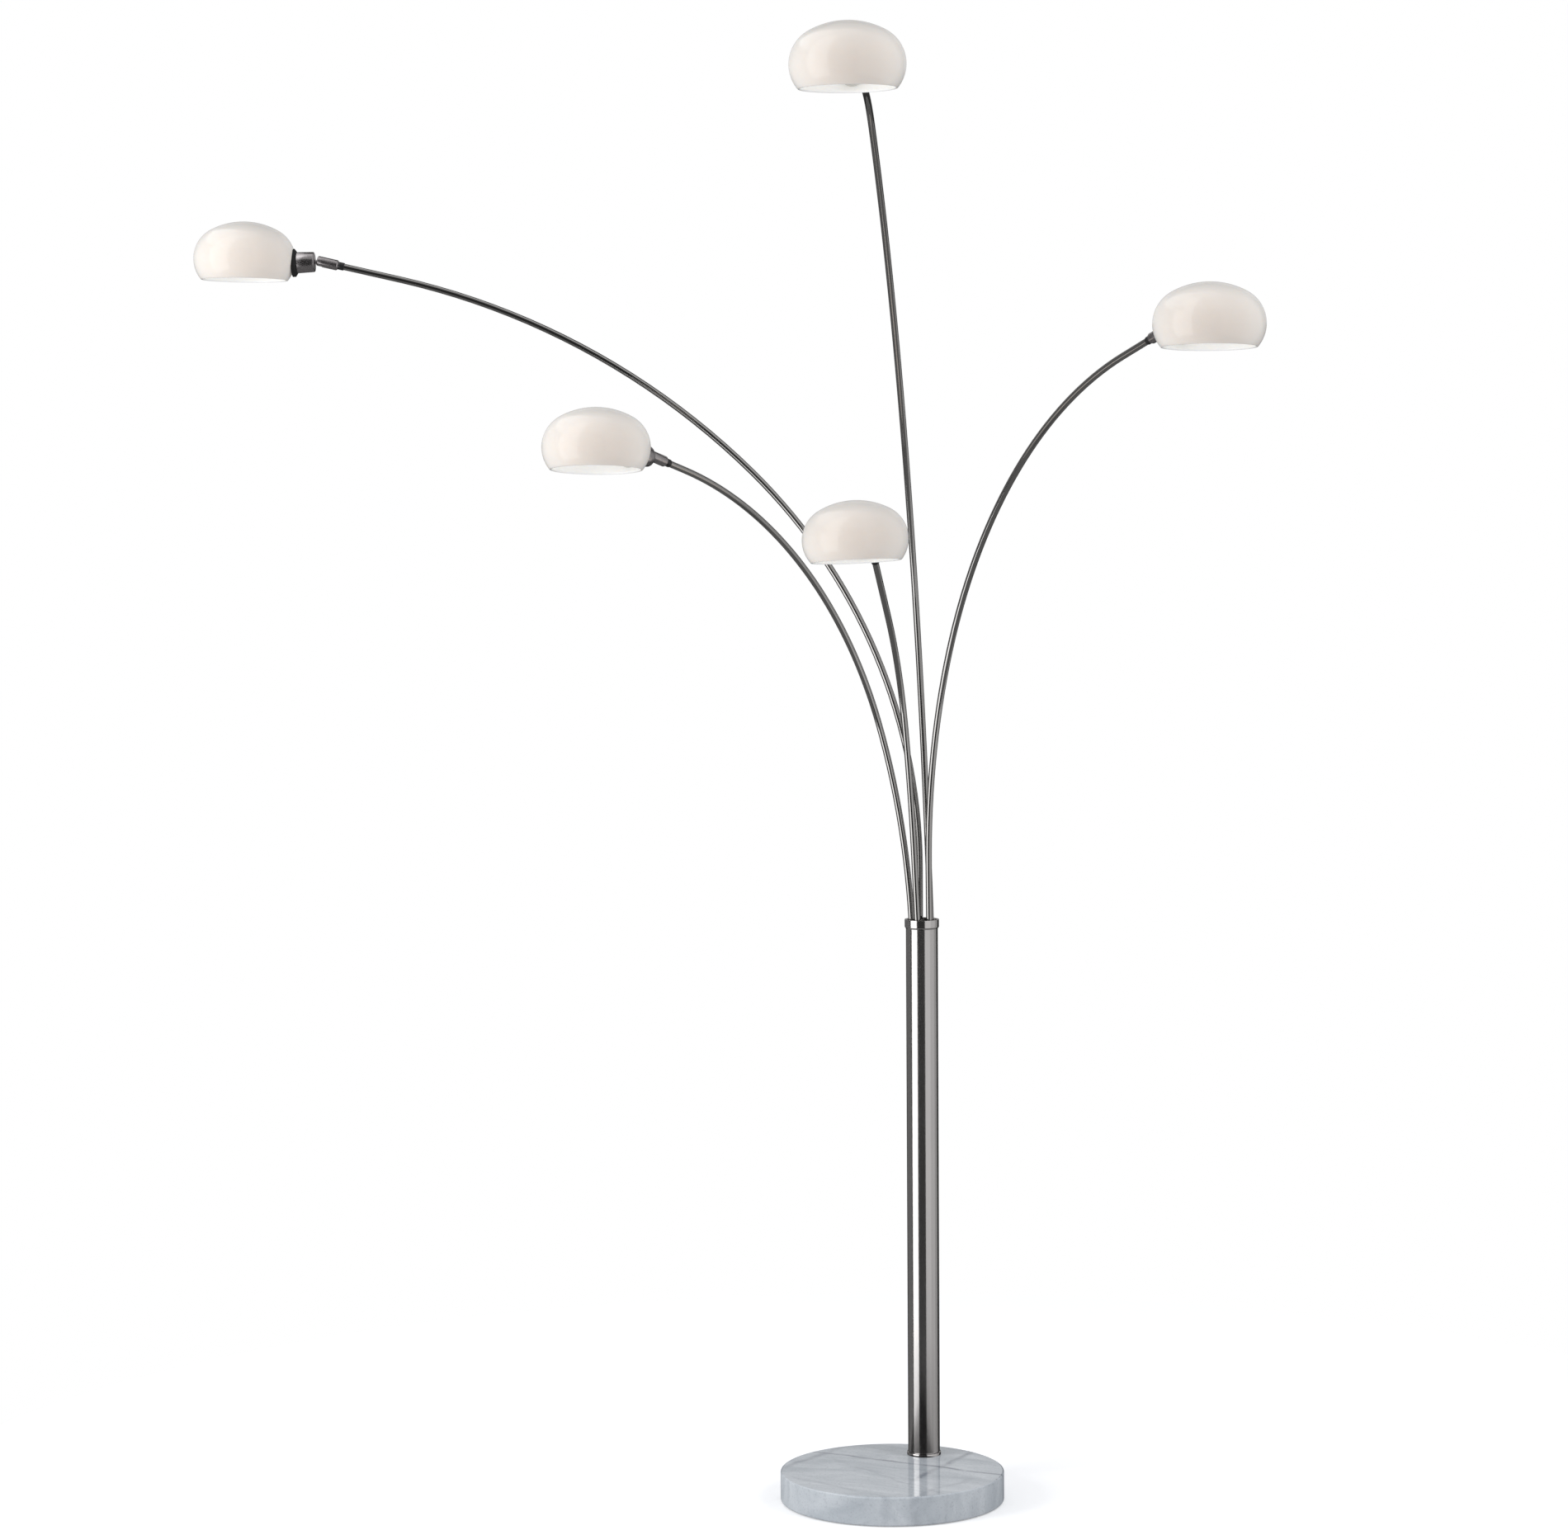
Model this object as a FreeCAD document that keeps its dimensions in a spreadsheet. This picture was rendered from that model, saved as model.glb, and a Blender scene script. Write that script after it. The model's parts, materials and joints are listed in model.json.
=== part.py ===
import FreeCAD, Part
import math
import os

import Sketcher
from FreeCAD import Matrix, Placement, Rotation, Vector

# Tree floor lamp: a marble disc carries a steel pole, and five bent tubes fan out of the pole's
# cap, each with a swivelling head that holds an opal glass shade.
# Frame: origin at the centre of the footprint on the floor, +Z up, -Y is the lamp's front.
# The pole stands behind the middle of the base, on the +Y side.

# ---------------------------------------------------------------- driving sizes (mm and degrees)
SIZES = {
    "fit_gap": 0.05,
    "seat_gap": 0.3,
    "base_diameter": 330.0,
    "base_thickness": 42.7,
    "base_round": 2.5,
    "felt_diameter": 314.0,
    "felt_thickness": 1.0,
    "recess_diameter": 64.0,
    "recess_depth": 24.0,
    "cord_slot_width": 9.0,
    "cord_slot_depth": 8.0,
    "bolt_diameter": 12.0,
    "bolt_bore": 6.0,
    "bolt_clearance": 0.5,
    "bolt_head_height": 8.0,
    "bolt_head_width": 19.0,
    "washer_diameter": 44.0,
    "washer_thickness": 2.5,
    "pole_setback": 110.5,
    "pole_diameter": 47.5,
    "pole_wall": 2.0,
    "pole_length": 793.3,
    "foot_diameter": 50.5,
    "foot_height": 5.0,
    "foot_shadow_gap": 0.9,
    "foot_shadow_inset": 1.8,
    "spigot_height": 12.0,
    "plug_thickness": 12.0,
    "cap_diameter": 51.0,
    "cap_grip": 5.5,
    "cap_taper": 2.4,
    "cap_lip": 4.0,
    "cap_rim_wall": 3.2,
    "plate_thickness": 4.0,
    "hole_ring_radius": 15.2,
    "tube_diameter": 9.5,
    "tube_wall": 1.0,
    "root_tail": 12.0,
    "root_flange_diameter": 12.4,
    "root_flange_height": 1.6,
    "nut_width": 12.0,
    "nut_thickness": 4.0,
    "ferrule_diameter": 11.4,
    "ferrule_length": 9.0,
    "ferrule_round": 0.8,
    "barrel_diameter": 15.3,
    "barrel_back": 26.3,
    "barrel_nose": 5.7,
    "barrel_nose_chamfer": 1.2,
    "barrel_tail_chamfer": 2.0,
    "tube_grip": 8.0,
    "seat_back": 12.0,
    "ball_diameter": 11.0,
    "lip_opening": 9.2,
    "lip_thickness": 2.5,
    "stem_diameter": 6.0,
    "slot_gap": 0.3,
    "wire_bore": 3.0,
    "cup_setoff": 9.2,
    "cup_length": 26.0,
    "cup_front_diameter": 31.2,
    "cup_rear_diameter": 29.6,
    "cup_round": 1.6,
    "cup_wall": 1.6,
    "gasket_diameter": 41.5,
    "gasket_reach": 7.5,
    "gasket_web": 3.6,
    "shade_diameter": 150.0,
    "shade_crown_height": 55.0,
    "shade_skirt_height": 31.0,
    "shade_side_radius": 48.0,
    "shade_wall": 3.5,
    "socket_drop": 5.0,
    "shade_pitch": 3.0,
    "holder_diameter": 25.5,
    "holder_length": 50.0,
    "holder_wall": 4.5,
    "holder_bore_depth": 24.0,
    "hole_gap": 0.8,
    "clamp_ring_diameter": 34.0,
    "clamp_ring_height": 8.0,
    "bulb_base_diameter": 14.0,
    "bulb_diameter": 27.0,
    "bulb_length": 62.0,
}

# Each bent tube stands upright in the cap, and its bend lies in a plane that may lean sideways.
# hole, facing: directions seen from above; lean: of the bend's plane; rise: first straight stretch;
# low and high bends: radius and angle; tip: last straight stretch; roll: turn of the head about the
# tip; droop: bend of the head below the tip's direction.
ARMS = {
    "left_high": {
        "hole": 126.0, "facing": 205.0, "lean": 0.0, "rise": 79.0,
        "low_radius": 828.0, "low_angle": 45.2, "high_radius": 1086.0, "high_angle": 31.7,
        "tip": 101.0, "roll": 1.5, "droop": 15.2,
    },
    "left_low": {
        "hole": 198.0, "facing": 256.0, "lean": -4.0, "rise": 2.0,
        "low_radius": 906.0, "low_angle": 19.1, "high_radius": 599.0, "high_angle": 53.8,
        "tip": 50.0, "roll": 0.0, "droop": 14.8,
    },
    "middle_low": {
        "hole": 270.0, "facing": 284.0, "lean": -2.5, "rise": 85.0,
        "low_radius": 946.0, "low_angle": 12.5, "high_radius": 377.0, "high_angle": 28.9,
        "tip": 125.0, "roll": 1.0, "droop": 47.7,
    },
    "middle_high": {
        "hole": 54.0, "facing": 291.0, "lean": -2.0, "rise": 119.0,
        "low_radius": 1279.0, "low_angle": 53.0, "high_radius": 220.0, "high_angle": 35.0,
        "tip": 82.0, "roll": -1.5, "droop": 4.3,
    },
    "right_high": {
        "hole": 342.0, "facing": 326.0, "lean": -0.5, "rise": 80.0,
        "low_radius": 829.0, "low_angle": 21.7, "high_radius": 754.0, "high_angle": 50.6,
        "tip": 80.0, "roll": -2.5, "droop": 17.7,
    },
}

NUT_SIDES = 6

doc = FreeCAD.newDocument("tree_floor_lamp")
sheet = doc.addObject("Spreadsheet::Sheet", "Sizes")
parts = {}


class Size:
    """A number together with the sheet formula that gives it."""

    def __init__(self, value, formula):
        self.value = float(value)
        self.formula = formula

    def joined(self, other, symbol, value):
        return Size(value, "(%s %s %s)" % (self.formula, symbol, text_of(other)))

    def __add__(self, other):
        return self.joined(other, "+", self.value + number_of(other))

    def __sub__(self, other):
        return self.joined(other, "-", self.value - number_of(other))

    def __mul__(self, other):
        return self.joined(other, "*", self.value * number_of(other))

    def __truediv__(self, other):
        return self.joined(other, "/", self.value / number_of(other))

    def __neg__(self):
        return Size(-self.value, "(0 - %s)" % self.formula)


def number_of(item):
    return item.value if isinstance(item, Size) else float(item)


def text_of(item):
    return item.formula if isinstance(item, Size) else repr(float(item))


def plain(number):
    return Size(number, repr(float(number)))


def root(item):
    return Size(math.sqrt(item.value), "sqrt(%s)" % item.formula)


def sine(angle):
    return Size(math.sin(math.radians(angle.value)), "sin(%s * 1 deg)" % angle.formula)


def cosine(angle):
    return Size(math.cos(math.radians(angle.value)), "cos(%s * 1 deg)" % angle.formula)


def fill_sheet():
    """Writes every size as a plain number with its alias, and returns them by name."""
    rows = dict(SIZES)
    for arm, values in ARMS.items():
        for name, value in values.items():
            rows[arm + "_" + name] = value
    sizes = {}
    for row, (name, value) in enumerate(rows.items(), start=1):
        sheet.set("A%d" % row, name)
        sheet.set("B%d" % row, str(value))
        sheet.setAlias("B%d" % row, name)
        sizes[name] = Size(value, "Sizes." + name)
    doc.recompute()
    return sizes


S = fill_sheet()
ZERO = plain(0)


# ---------------------------------------------------------------- sketching helpers
def bind(item, path, size):
    item.setExpression(path, size.formula)


def pin_point(sketch, edge, end, x, y):
    """Holds one end of an edge at the place (x, y), measured from the sketch's origin."""
    for kind, size in (("DistanceX", x), ("DistanceY", y)):
        index = sketch.addConstraint(Sketcher.Constraint(kind, -1, 1, edge, end, size.value))
        bind(sketch, "Constraints[%d]" % index, size)


def draw_outline(sketch, outline, closed=True):
    """Draws lines and arcs from corner to corner.

    A corner is (x, y), or (x, y, radius, side) when an arc leads to the next corner.
    The side is +1 when that arc turns left, seen along the outline, and -1 when it turns right.
    """
    count = len(outline) if closed else len(outline) - 1
    edges = []
    for index in range(count):
        corner = outline[index]
        follower = outline[(index + 1) % len(outline)]
        start = Vector(corner[0].value, corner[1].value, 0)
        finish = Vector(follower[0].value, follower[1].value, 0)
        if len(corner) == 2:
            edges.append(sketch.addGeometry(Part.LineSegment(start, finish)))
        else:
            edges.append(sketch.addGeometry(arc_between(start, finish, corner[2].value, corner[3])))
    for index, edge in enumerate(edges):
        corner = outline[index]
        turns_right = len(corner) == 4 and corner[3] < 0
        first, last = (2, 1) if turns_right else (1, 2)
        pin_point(sketch, edge, first, corner[0], corner[1])
        follower = outline[(index + 1) % len(outline)]
        pin_point(sketch, edge, last, follower[0], follower[1])
        if len(corner) == 4:
            place = sketch.addConstraint(Sketcher.Constraint("Radius", edge, corner[2].value))
            bind(sketch, "Constraints[%d]" % place, corner[2])


def arc_between(start, finish, radius, side):
    """The shorter arc of that radius, as a counter-clockwise arc for a sketch."""
    chord = finish - start
    half = chord.Length / 2
    reach = math.sqrt(max(radius * radius - half * half, 0.0))
    normal = Vector(-chord.y, chord.x, 0).normalize()
    centre = (start + finish) * 0.5 + normal * reach * side
    circle = Part.Circle(centre, Vector(0, 0, 1), radius)
    begin, end = (start, finish) if side > 0 else (finish, start)
    first = math.atan2(begin.y - centre.y, begin.x - centre.x)
    last = math.atan2(end.y - centre.y, end.x - centre.x)
    return Part.ArcOfCircle(circle, first, last)


def origin_plane(body, role):
    return next(item for item in body.Origin.OriginFeatures if item.Role == role)


def new_body(name):
    body = doc.addObject("PartDesign::Body", name)
    body.Label = name
    parts[name] = body
    return body


def new_sketch(body, name, role="XY_Plane", lift=None):
    sketch = body.newObject("Sketcher::SketchObject", name)
    sketch.AttachmentSupport = [(origin_plane(body, role), "")]
    sketch.MapMode = "FlatFace"
    if lift is not None:
        bind(sketch, "AttachmentOffset.Base.z", lift)
    return sketch


def draw_circle(sketch, diameter, x=ZERO, y=ZERO):
    edge = sketch.addGeometry(
        Part.Circle(Vector(x.value, y.value, 0), Vector(0, 0, 1), diameter.value / 2))
    index = sketch.addConstraint(Sketcher.Constraint("Diameter", edge, diameter.value))
    bind(sketch, "Constraints[%d]" % index, diameter)
    pin_point(sketch, edge, 3, x, y)


def pad(body, sketch, height):
    feature = body.newObject("PartDesign::Pad", sketch.Name + "_pad")
    feature.Profile = sketch
    bind(feature, "Length", height)
    doc.recompute()
    return feature


def pocket(body, sketch, depth=None, reverse=False):
    """Cuts a sketch into the body, through all of it when no depth is given."""
    before = body.Shape.Volume
    feature = body.newObject("PartDesign::Pocket", sketch.Name + "_pocket")
    feature.Profile = sketch
    feature.Reversed = reverse
    if depth is None:
        feature.Type = "ThroughAll"
    else:
        bind(feature, "Length", depth)
    doc.recompute()
    if body.Shape.Volume >= before:
        raise RuntimeError("the cut %s removes nothing" % feature.Name)
    return feature


def turned_body(name, outline, place, role="XZ_Plane", axis="V_Axis"):
    """A body turned from an outline: (radius, height) corners about Z, or (x, radius) about X."""
    body = new_body(name)
    sketch = new_sketch(body, name + "_outline", role)
    draw_outline(sketch, outline)
    feature = body.newObject("PartDesign::Revolution", name + "_turn")
    feature.Profile = sketch
    feature.ReferenceAxis = (sketch, [axis])
    feature.Angle = 360
    doc.recompute()
    body.Placement = place
    return body


def lathe_body(name, outline, place):
    """A body turned about its own X axis, with corners (x, radius)."""
    return turned_body(name, outline, place, "XY_Plane", "H_Axis")


def upright(x, y, z):
    return Placement(Vector(number_of(x), number_of(y), number_of(z)), Rotation())


# ---------------------------------------------------------------- base
pole_radius = S["pole_diameter"] / 2
pole_bore = S["pole_diameter"] - S["pole_wall"] * 2
base_top = S["felt_thickness"] + S["base_thickness"]
recess_roof = S["felt_thickness"] + S["recess_depth"]
pole_foot = base_top + S["foot_height"]
pole_top = pole_foot + S["pole_length"]
plate_top = pole_top + S["plate_thickness"]
cap_top = plate_top + S["cap_lip"]
setback = S["pole_setback"]
bolt_passage = S["bolt_diameter"] + S["bolt_clearance"] * 2


def make_base():
    """Polished marble disc with a bolt hole, a recess below it and a cord slot to the back."""
    body = new_body("marble_base")
    sketch = new_sketch(body, "base_circle")
    draw_circle(sketch, S["base_diameter"])
    disc = pad(body, sketch, S["base_thickness"])
    rims = [name for name, edge in edge_names(disc.Shape) if edge.Length > S["base_diameter"].value * 3]
    rounding = body.newObject("PartDesign::Fillet", "base_rounding")
    rounding.Base = (disc, rims)
    bind(rounding, "Radius", S["base_round"])
    doc.recompute()

    hole = new_sketch(body, "bolt_hole")
    draw_circle(hole, bolt_passage, ZERO, setback)
    pocket(body, hole, reverse=True)
    recess = new_sketch(body, "bolt_recess")
    draw_circle(recess, S["recess_diameter"], ZERO, setback)
    pocket(body, recess, S["recess_depth"], reverse=True)

    slot = new_sketch(body, "cord_slot")
    draw_outline(slot, cord_slot_corners())
    pocket(body, slot, S["cord_slot_depth"], reverse=True)
    body.Placement = upright(0, 0, S["felt_thickness"])


def cord_slot_corners():
    """The slot in the underside, from below the pole out past the back edge."""
    side = S["cord_slot_width"] / 2
    far = S["base_diameter"] / 2 + S["cord_slot_width"]
    return [(-side, setback), (side, setback), (side, far), (-side, far)]


def make_felt():
    """Thin felt sheet glued under the disc, open at the recess and at the cord slot."""
    body = new_body("base_felt")
    sketch = new_sketch(body, "felt_circle")
    draw_circle(sketch, S["felt_diameter"])
    pad(body, sketch, S["felt_thickness"])
    recess = new_sketch(body, "felt_opening")
    draw_circle(recess, S["recess_diameter"], ZERO, setback)
    pocket(body, recess, reverse=True)
    slot = new_sketch(body, "felt_slot")
    draw_outline(slot, cord_slot_corners())
    pocket(body, slot, reverse=True)


def edge_names(shape):
    return [("Edge%d" % index, edge) for index, edge in enumerate(shape.Edges, start=1)]


def grouped(name, members):
    """Identical small pieces in one named group, each a solid of its own."""
    group = doc.addObject("Part::Compound", name)
    group.Label = name
    group.Links = members
    parts[name] = group
    return group


def cylinder(name, diameter, height, place):
    item = doc.addObject("Part::Cylinder", name)
    bind(item, "Radius", diameter / 2)
    bind(item, "Height", height)
    item.Placement = place
    return item


def make_bolt():
    """Hollow hex bolt that pulls the pole down on the disc; the wires run through it."""
    body = new_body("base_bolt")
    head = new_sketch(body, "bolt_hexagon")
    draw_hexagon(head, S["bolt_head_width"])
    pad(body, head, S["bolt_head_height"])
    shank = new_sketch(body, "bolt_shank")
    draw_circle(shank, S["bolt_diameter"])
    pad(body, shank, S["bolt_head_height"] + bolt_reach())
    bore = new_sketch(body, "bolt_wire_bore")
    draw_circle(bore, S["bolt_bore"])
    pocket(body, bore, reverse=True)
    under_washer = recess_roof - S["washer_thickness"]
    body.Placement = upright(0, setback, under_washer - S["bolt_head_height"])


def bolt_reach():
    """From below the washer to just under the top of the plug."""
    above_base = S["foot_height"] + S["spigot_height"] + S["plug_thickness"]
    stone = S["base_thickness"] - S["recess_depth"]
    return S["washer_thickness"] + stone + above_base - S["bolt_clearance"]


def draw_hexagon(sketch, width):
    """A hexagon of that width across its flats, with two flats square to X."""
    corners = []
    for index in range(NUT_SIDES):
        turn = plain(30 + 60 * index)
        reach = width / (math.sqrt(3))
        corners.append((reach * cosine(turn), reach * sine(turn)))
    draw_outline(sketch, corners)


def ring_outline(inner, outer, bottom, top):
    """Corners of a plain ring, given as diameters and heights."""
    return [(inner / 2, bottom), (outer / 2, bottom), (outer / 2, top), (inner / 2, top)]


def make_post():
    """Washer, foot ring, threaded plug and the pole itself."""
    washer = ring_outline(bolt_passage, S["washer_diameter"], ZERO, S["washer_thickness"])
    turned_body("base_washer", washer, upright(0, setback, recess_roof - S["washer_thickness"]))

    spigot = pole_bore / 2 - S["fit_gap"]
    ring = S["foot_diameter"] / 2
    neck = pole_radius - S["foot_shadow_inset"]
    step = S["foot_height"] - S["foot_shadow_gap"]
    bore = bolt_passage / 2
    foot = [
        (bore, ZERO), (ring, ZERO), (ring, step), (neck, step), (neck, S["foot_height"]),
        (spigot, S["foot_height"]), (spigot, S["foot_height"] + S["spigot_height"]),
        (bore, S["foot_height"] + S["spigot_height"]),
    ]
    turned_body("foot_ring", foot, upright(0, setback, base_top))

    thread = S["bolt_diameter"] + S["fit_gap"] * 2
    plug = ring_outline(thread, pole_bore - S["fit_gap"] * 2, ZERO, S["plug_thickness"])
    turned_body("pole_plug", plug, upright(0, setback, pole_foot + S["spigot_height"]))

    tube = ring_outline(pole_bore, S["pole_diameter"], ZERO, S["pole_length"])
    turned_body("pole", tube, upright(0, setback, pole_foot))


# ---------------------------------------------------------------- cap
tube_hole = S["tube_diameter"] + S["fit_gap"] * 2
arm_holes = {name: S[name + "_hole"] for name in ARMS}


def hole_place(name):
    """Where one tube stands in the cap, seen from above and measured from the pole's axis."""
    turn = arm_holes[name]
    return S["hole_ring_radius"] * cosine(turn), S["hole_ring_radius"] * sine(turn)


def make_cap():
    """Ring that grips the pole's end, with a lip that holds the drilled plate inside it."""
    bore = pole_radius + S["fit_gap"]
    outer = S["cap_diameter"] / 2
    plate = S["cap_grip"] + S["plate_thickness"]
    rim = outer - S["cap_rim_wall"]
    outline = [
        (bore, ZERO), (bore + S["fit_gap"] * 4, ZERO), (outer, S["cap_taper"]),
        (outer, plate + S["cap_lip"]), (rim, plate + S["cap_lip"]), (rim, plate), (bore, plate),
    ]
    turned_body("cap_ring", outline, upright(0, setback, pole_top - S["cap_grip"]))

    body = new_body("arm_plate")
    disc = new_sketch(body, "plate_disc")
    draw_circle(disc, S["pole_diameter"])
    pad(body, disc, S["plate_thickness"])
    for name in ARMS:
        drilling = new_sketch(body, name + "_hole_sketch")
        draw_circle(drilling, tube_hole, *hole_place(name))
        pocket(body, drilling, reverse=True)
    body.Placement = upright(0, setback, pole_top)


def make_root_nuts():
    """Thin hexagon nuts that hold the tubes' threaded ends below the plate."""
    members = []
    for name, turn in arm_holes.items():
        x, y = hole_place(name)
        place = Placement(
            Vector(x.value, y.value + setback.value, pole_top.value - S["nut_thickness"].value),
            Rotation(Vector(0, 0, 1), turn.value + 30))
        prism = doc.addObject("Part::Prism", name + "_nut_blank")
        prism.Polygon = NUT_SIDES
        bind(prism, "Circumradius", S["nut_width"] / math.sqrt(3))
        bind(prism, "Height", S["nut_thickness"])
        prism.Placement = place
        bore = cylinder(name + "_nut_bore", tube_hole, S["nut_thickness"], place)
        nut = doc.addObject("Part::Cut", name + "_nut")
        nut.Base = prism
        nut.Tool = bore
        members.append(nut)
    grouped("root_nuts", members)


# ---------------------------------------------------------------- arms
def arm_axes(name):
    """The arm's outward, upward and leftward directions, in the plane of its bend."""
    facing = math.radians(S[name + "_facing"].value)
    lean = math.radians(S[name + "_lean"].value)
    outward = Vector(math.cos(facing), math.sin(facing), 0)
    left = Vector(-math.sin(facing), math.cos(facing), 0)
    upward = Vector(0, 0, math.cos(lean)) + left * math.sin(lean)
    return outward, upward, upward.cross(outward)


def framed(origin, x_axis, y_axis, z_axis):
    """A placement from its origin and three axes."""
    return Placement(Matrix(
        x_axis.x, y_axis.x, z_axis.x, origin.x,
        x_axis.y, y_axis.y, z_axis.y, origin.y,
        x_axis.z, y_axis.z, z_axis.z, origin.z,
        0, 0, 0, 1))


def arm_route(name):
    """Corners of the tube's middle line in the plane of its bend: outward and upward."""
    low = S[name + "_low_angle"]
    tip_angle = low + S[name + "_high_angle"]
    first = S[name + "_low_radius"]
    second = S[name + "_high_radius"]
    rise = S[name + "_rise"]
    knee = (first - first * cosine(low), rise + first * sine(low))
    wrist = (
        knee[0] + second * (cosine(low) - cosine(tip_angle)),
        knee[1] + second * (sine(tip_angle) - sine(low)),
    )
    end = (wrist[0] + S[name + "_tip"] * sine(tip_angle),
           wrist[1] + S[name + "_tip"] * cosine(tip_angle))
    return [(ZERO, ZERO), (ZERO, rise, first, -1), (knee[0], knee[1], second, -1), wrist, end]


def root_point(name):
    x, y = hole_place(name)
    return Vector(x.value, y.value + setback.value, plate_top.value)


def route_start(name):
    return root_point(name) + Vector(0, 0, S["root_flange_height"].value / 2)


def tip_place(name):
    """Frame of the head's ball joint: X along the tube's tip, Y the axis that the head nods about."""
    outward, upward, left = arm_axes(name)
    bend = math.radians(S[name + "_low_angle"].value + S[name + "_high_angle"].value)
    along = outward * math.sin(bend) + upward * math.cos(bend)
    end_x, end_y = arm_route(name)[-1]
    end = route_start(name) + outward * end_x.value + upward * end_y.value
    past_end = S["barrel_back"].value - S["tube_grip"].value
    flat_up = along.cross(left)
    unrolled = framed(end + along * past_end, along, left, flat_up)
    roll = Placement(Vector(), Rotation(Vector(1, 0, 0), S[name + "_roll"].value))
    return unrolled.multiply(roll)


def head_place(name):
    """Frame of the shade's head: X along its socket, Z up through the shade."""
    droop = Placement(Vector(), Rotation(Vector(0, 1, 0), S[name + "_droop"].value))
    return tip_place(name).multiply(droop)


def swept(name, route, diameter, plane):
    """A round bar of that diameter along the arm's route."""
    circle = doc.addObject("Part::Circle", name + "_circle")
    bind(circle, "Radius", diameter / 2)
    facing_up = Rotation(Vector(1, 0, 0), -90)
    circle.Placement = plane.multiply(Placement(Vector(), facing_up))
    sweep = doc.addObject("Part::Sweep", name)
    sweep.Sections = [circle]
    sweep.Spine = (route, ["Edge1", "Edge2", "Edge3", "Edge4"])
    sweep.Solid = True
    sweep.Frenet = False
    return sweep


def joined(name, kind, members):
    item = doc.addObject(kind, name)
    if kind == "Part::MultiFuse":
        item.Shapes = members
        item.Refine = False
    else:
        item.Base, item.Tool = members
    return item


def make_arm_tube(name):
    """Bent tube with an upright threaded root and a small flange that rests on the plate."""
    outward, upward, left = arm_axes(name)
    plane = framed(route_start(name), outward, upward, outward.cross(upward))
    route = doc.addObject("Sketcher::SketchObject", name + "_route")
    draw_outline(route, arm_route(name), closed=False)
    route.Placement = plane
    doc.recompute()

    bore = S["tube_diameter"] - S["tube_wall"] * 2
    below = S["root_tail"]
    foot = root_point(name) - Vector(0, 0, below.value)
    root_height = below + S["root_flange_height"] / 2
    at_foot = Placement(foot, Rotation())
    at_plate = Placement(root_point(name), Rotation())
    outer = joined(name + "_outer", "Part::MultiFuse", [
        swept(name + "_bar", route, S["tube_diameter"], plane),
        cylinder(name + "_root", S["tube_diameter"], root_height, at_foot),
        cylinder(name + "_flange", S["root_flange_diameter"], S["root_flange_height"], at_plate),
    ])
    inner = joined(name + "_inner", "Part::MultiFuse", [
        swept(name + "_core", route, bore, plane),
        cylinder(name + "_root_core", bore, root_height, at_foot),
    ])
    tube = joined(name + "_tube", "Part::Cut", [outer, inner])
    tube.Label = name + "_tube"
    parts[name + "_tube"] = tube


def make_swivel(name):
    """Ferrule, slotted barrel and the nylon seat that presses on the head's ball."""
    place = tip_place(name)
    back = -S["barrel_back"]
    slip = S["tube_diameter"] / 2 + S["fit_gap"]
    collar = S["ferrule_diameter"] / 2
    start = back - S["ferrule_length"]
    chamfer = S["ferrule_round"]
    lathe_body(name + "_ferrule", [
        (start, slip), (start, collar - chamfer), (start + chamfer, collar), (back, collar),
        (back, slip),
    ], place)

    outer = S["barrel_diameter"] / 2
    nose = S["barrel_nose"]
    lip = nose - S["lip_thickness"]
    cavity = S["ball_diameter"] / 2 + S["fit_gap"]
    floor = -S["seat_back"]
    wire = S["wire_bore"] / 2
    shoulder = back + S["tube_grip"]
    front = S["barrel_nose_chamfer"]
    rear = S["barrel_tail_chamfer"]
    barrel = lathe_body(name + "_barrel", [
        (back, slip), (back, outer - rear), (back + rear, outer), (nose - front, outer),
        (nose, outer - front), (nose, S["lip_opening"] / 2), (lip, S["lip_opening"] / 2),
        (lip, cavity), (floor, cavity), (floor, wire), (shoulder, wire), (shoulder, slip),
    ], place)
    slot = new_sketch(barrel, name + "_slot")
    half = S["stem_diameter"] / 2 + S["slot_gap"]
    draw_outline(slot, [(-half, -half), (nose * 2, -half), (nose * 2, half), (-half, half)])
    pocket(barrel, slot, S["barrel_diameter"])

    ball = S["ball_diameter"] / 2
    lathe_body(name + "_ball_seat", [
        (floor, wire), (floor, ball), (-ball - S["fit_gap"], ball), (-ball - S["fit_gap"], wire),
    ], place)


# ---------------------------------------------------------------- heads
shade_radius = S["shade_diameter"] / 2
side_radius = S["shade_side_radius"]
side_centre = shade_radius - side_radius
# The crown is one large arc that runs smoothly into the smaller arc of the side.
crown_radius = (side_centre * side_centre
                + S["shade_crown_height"] * S["shade_crown_height"]
                - side_radius * side_radius) / ((S["shade_crown_height"] - side_radius) * 2)
crown_centre = S["shade_crown_height"] - crown_radius
wall_reach = side_centre + root(
    side_radius * side_radius - S["socket_drop"] * S["socket_drop"])
cup_front = S["cup_setoff"] + S["cup_length"]
glass_outside = cup_front + S["gasket_web"]


def dome_side(grow):
    """Radius and level where the shade's surface, moved outward by grow, meets its rim's level."""
    skirt = S["shade_skirt_height"]
    reach = side_radius + grow
    return side_centre + root(reach * reach - skirt * skirt), -skirt


def dome_shoulder(grow):
    """Where the crown's arc meets the side's arc, on the surface moved outward by grow."""
    share = (crown_radius + grow) / (crown_radius - side_radius)
    return side_centre * share, crown_centre - crown_centre * share


def dome_top(grow):
    return ZERO, S["shade_crown_height"] + grow


def dome_corners(grow):
    """Arcs of the shade's surface from the rim up to the top, moved outward by grow."""
    rim = dome_side(grow)
    shoulder = dome_shoulder(grow)
    return [
        (rim[0], rim[1], side_radius + grow, 1),
        (shoulder[0], shoulder[1], crown_radius + grow, 1),
        dome_top(grow),
    ]


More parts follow.
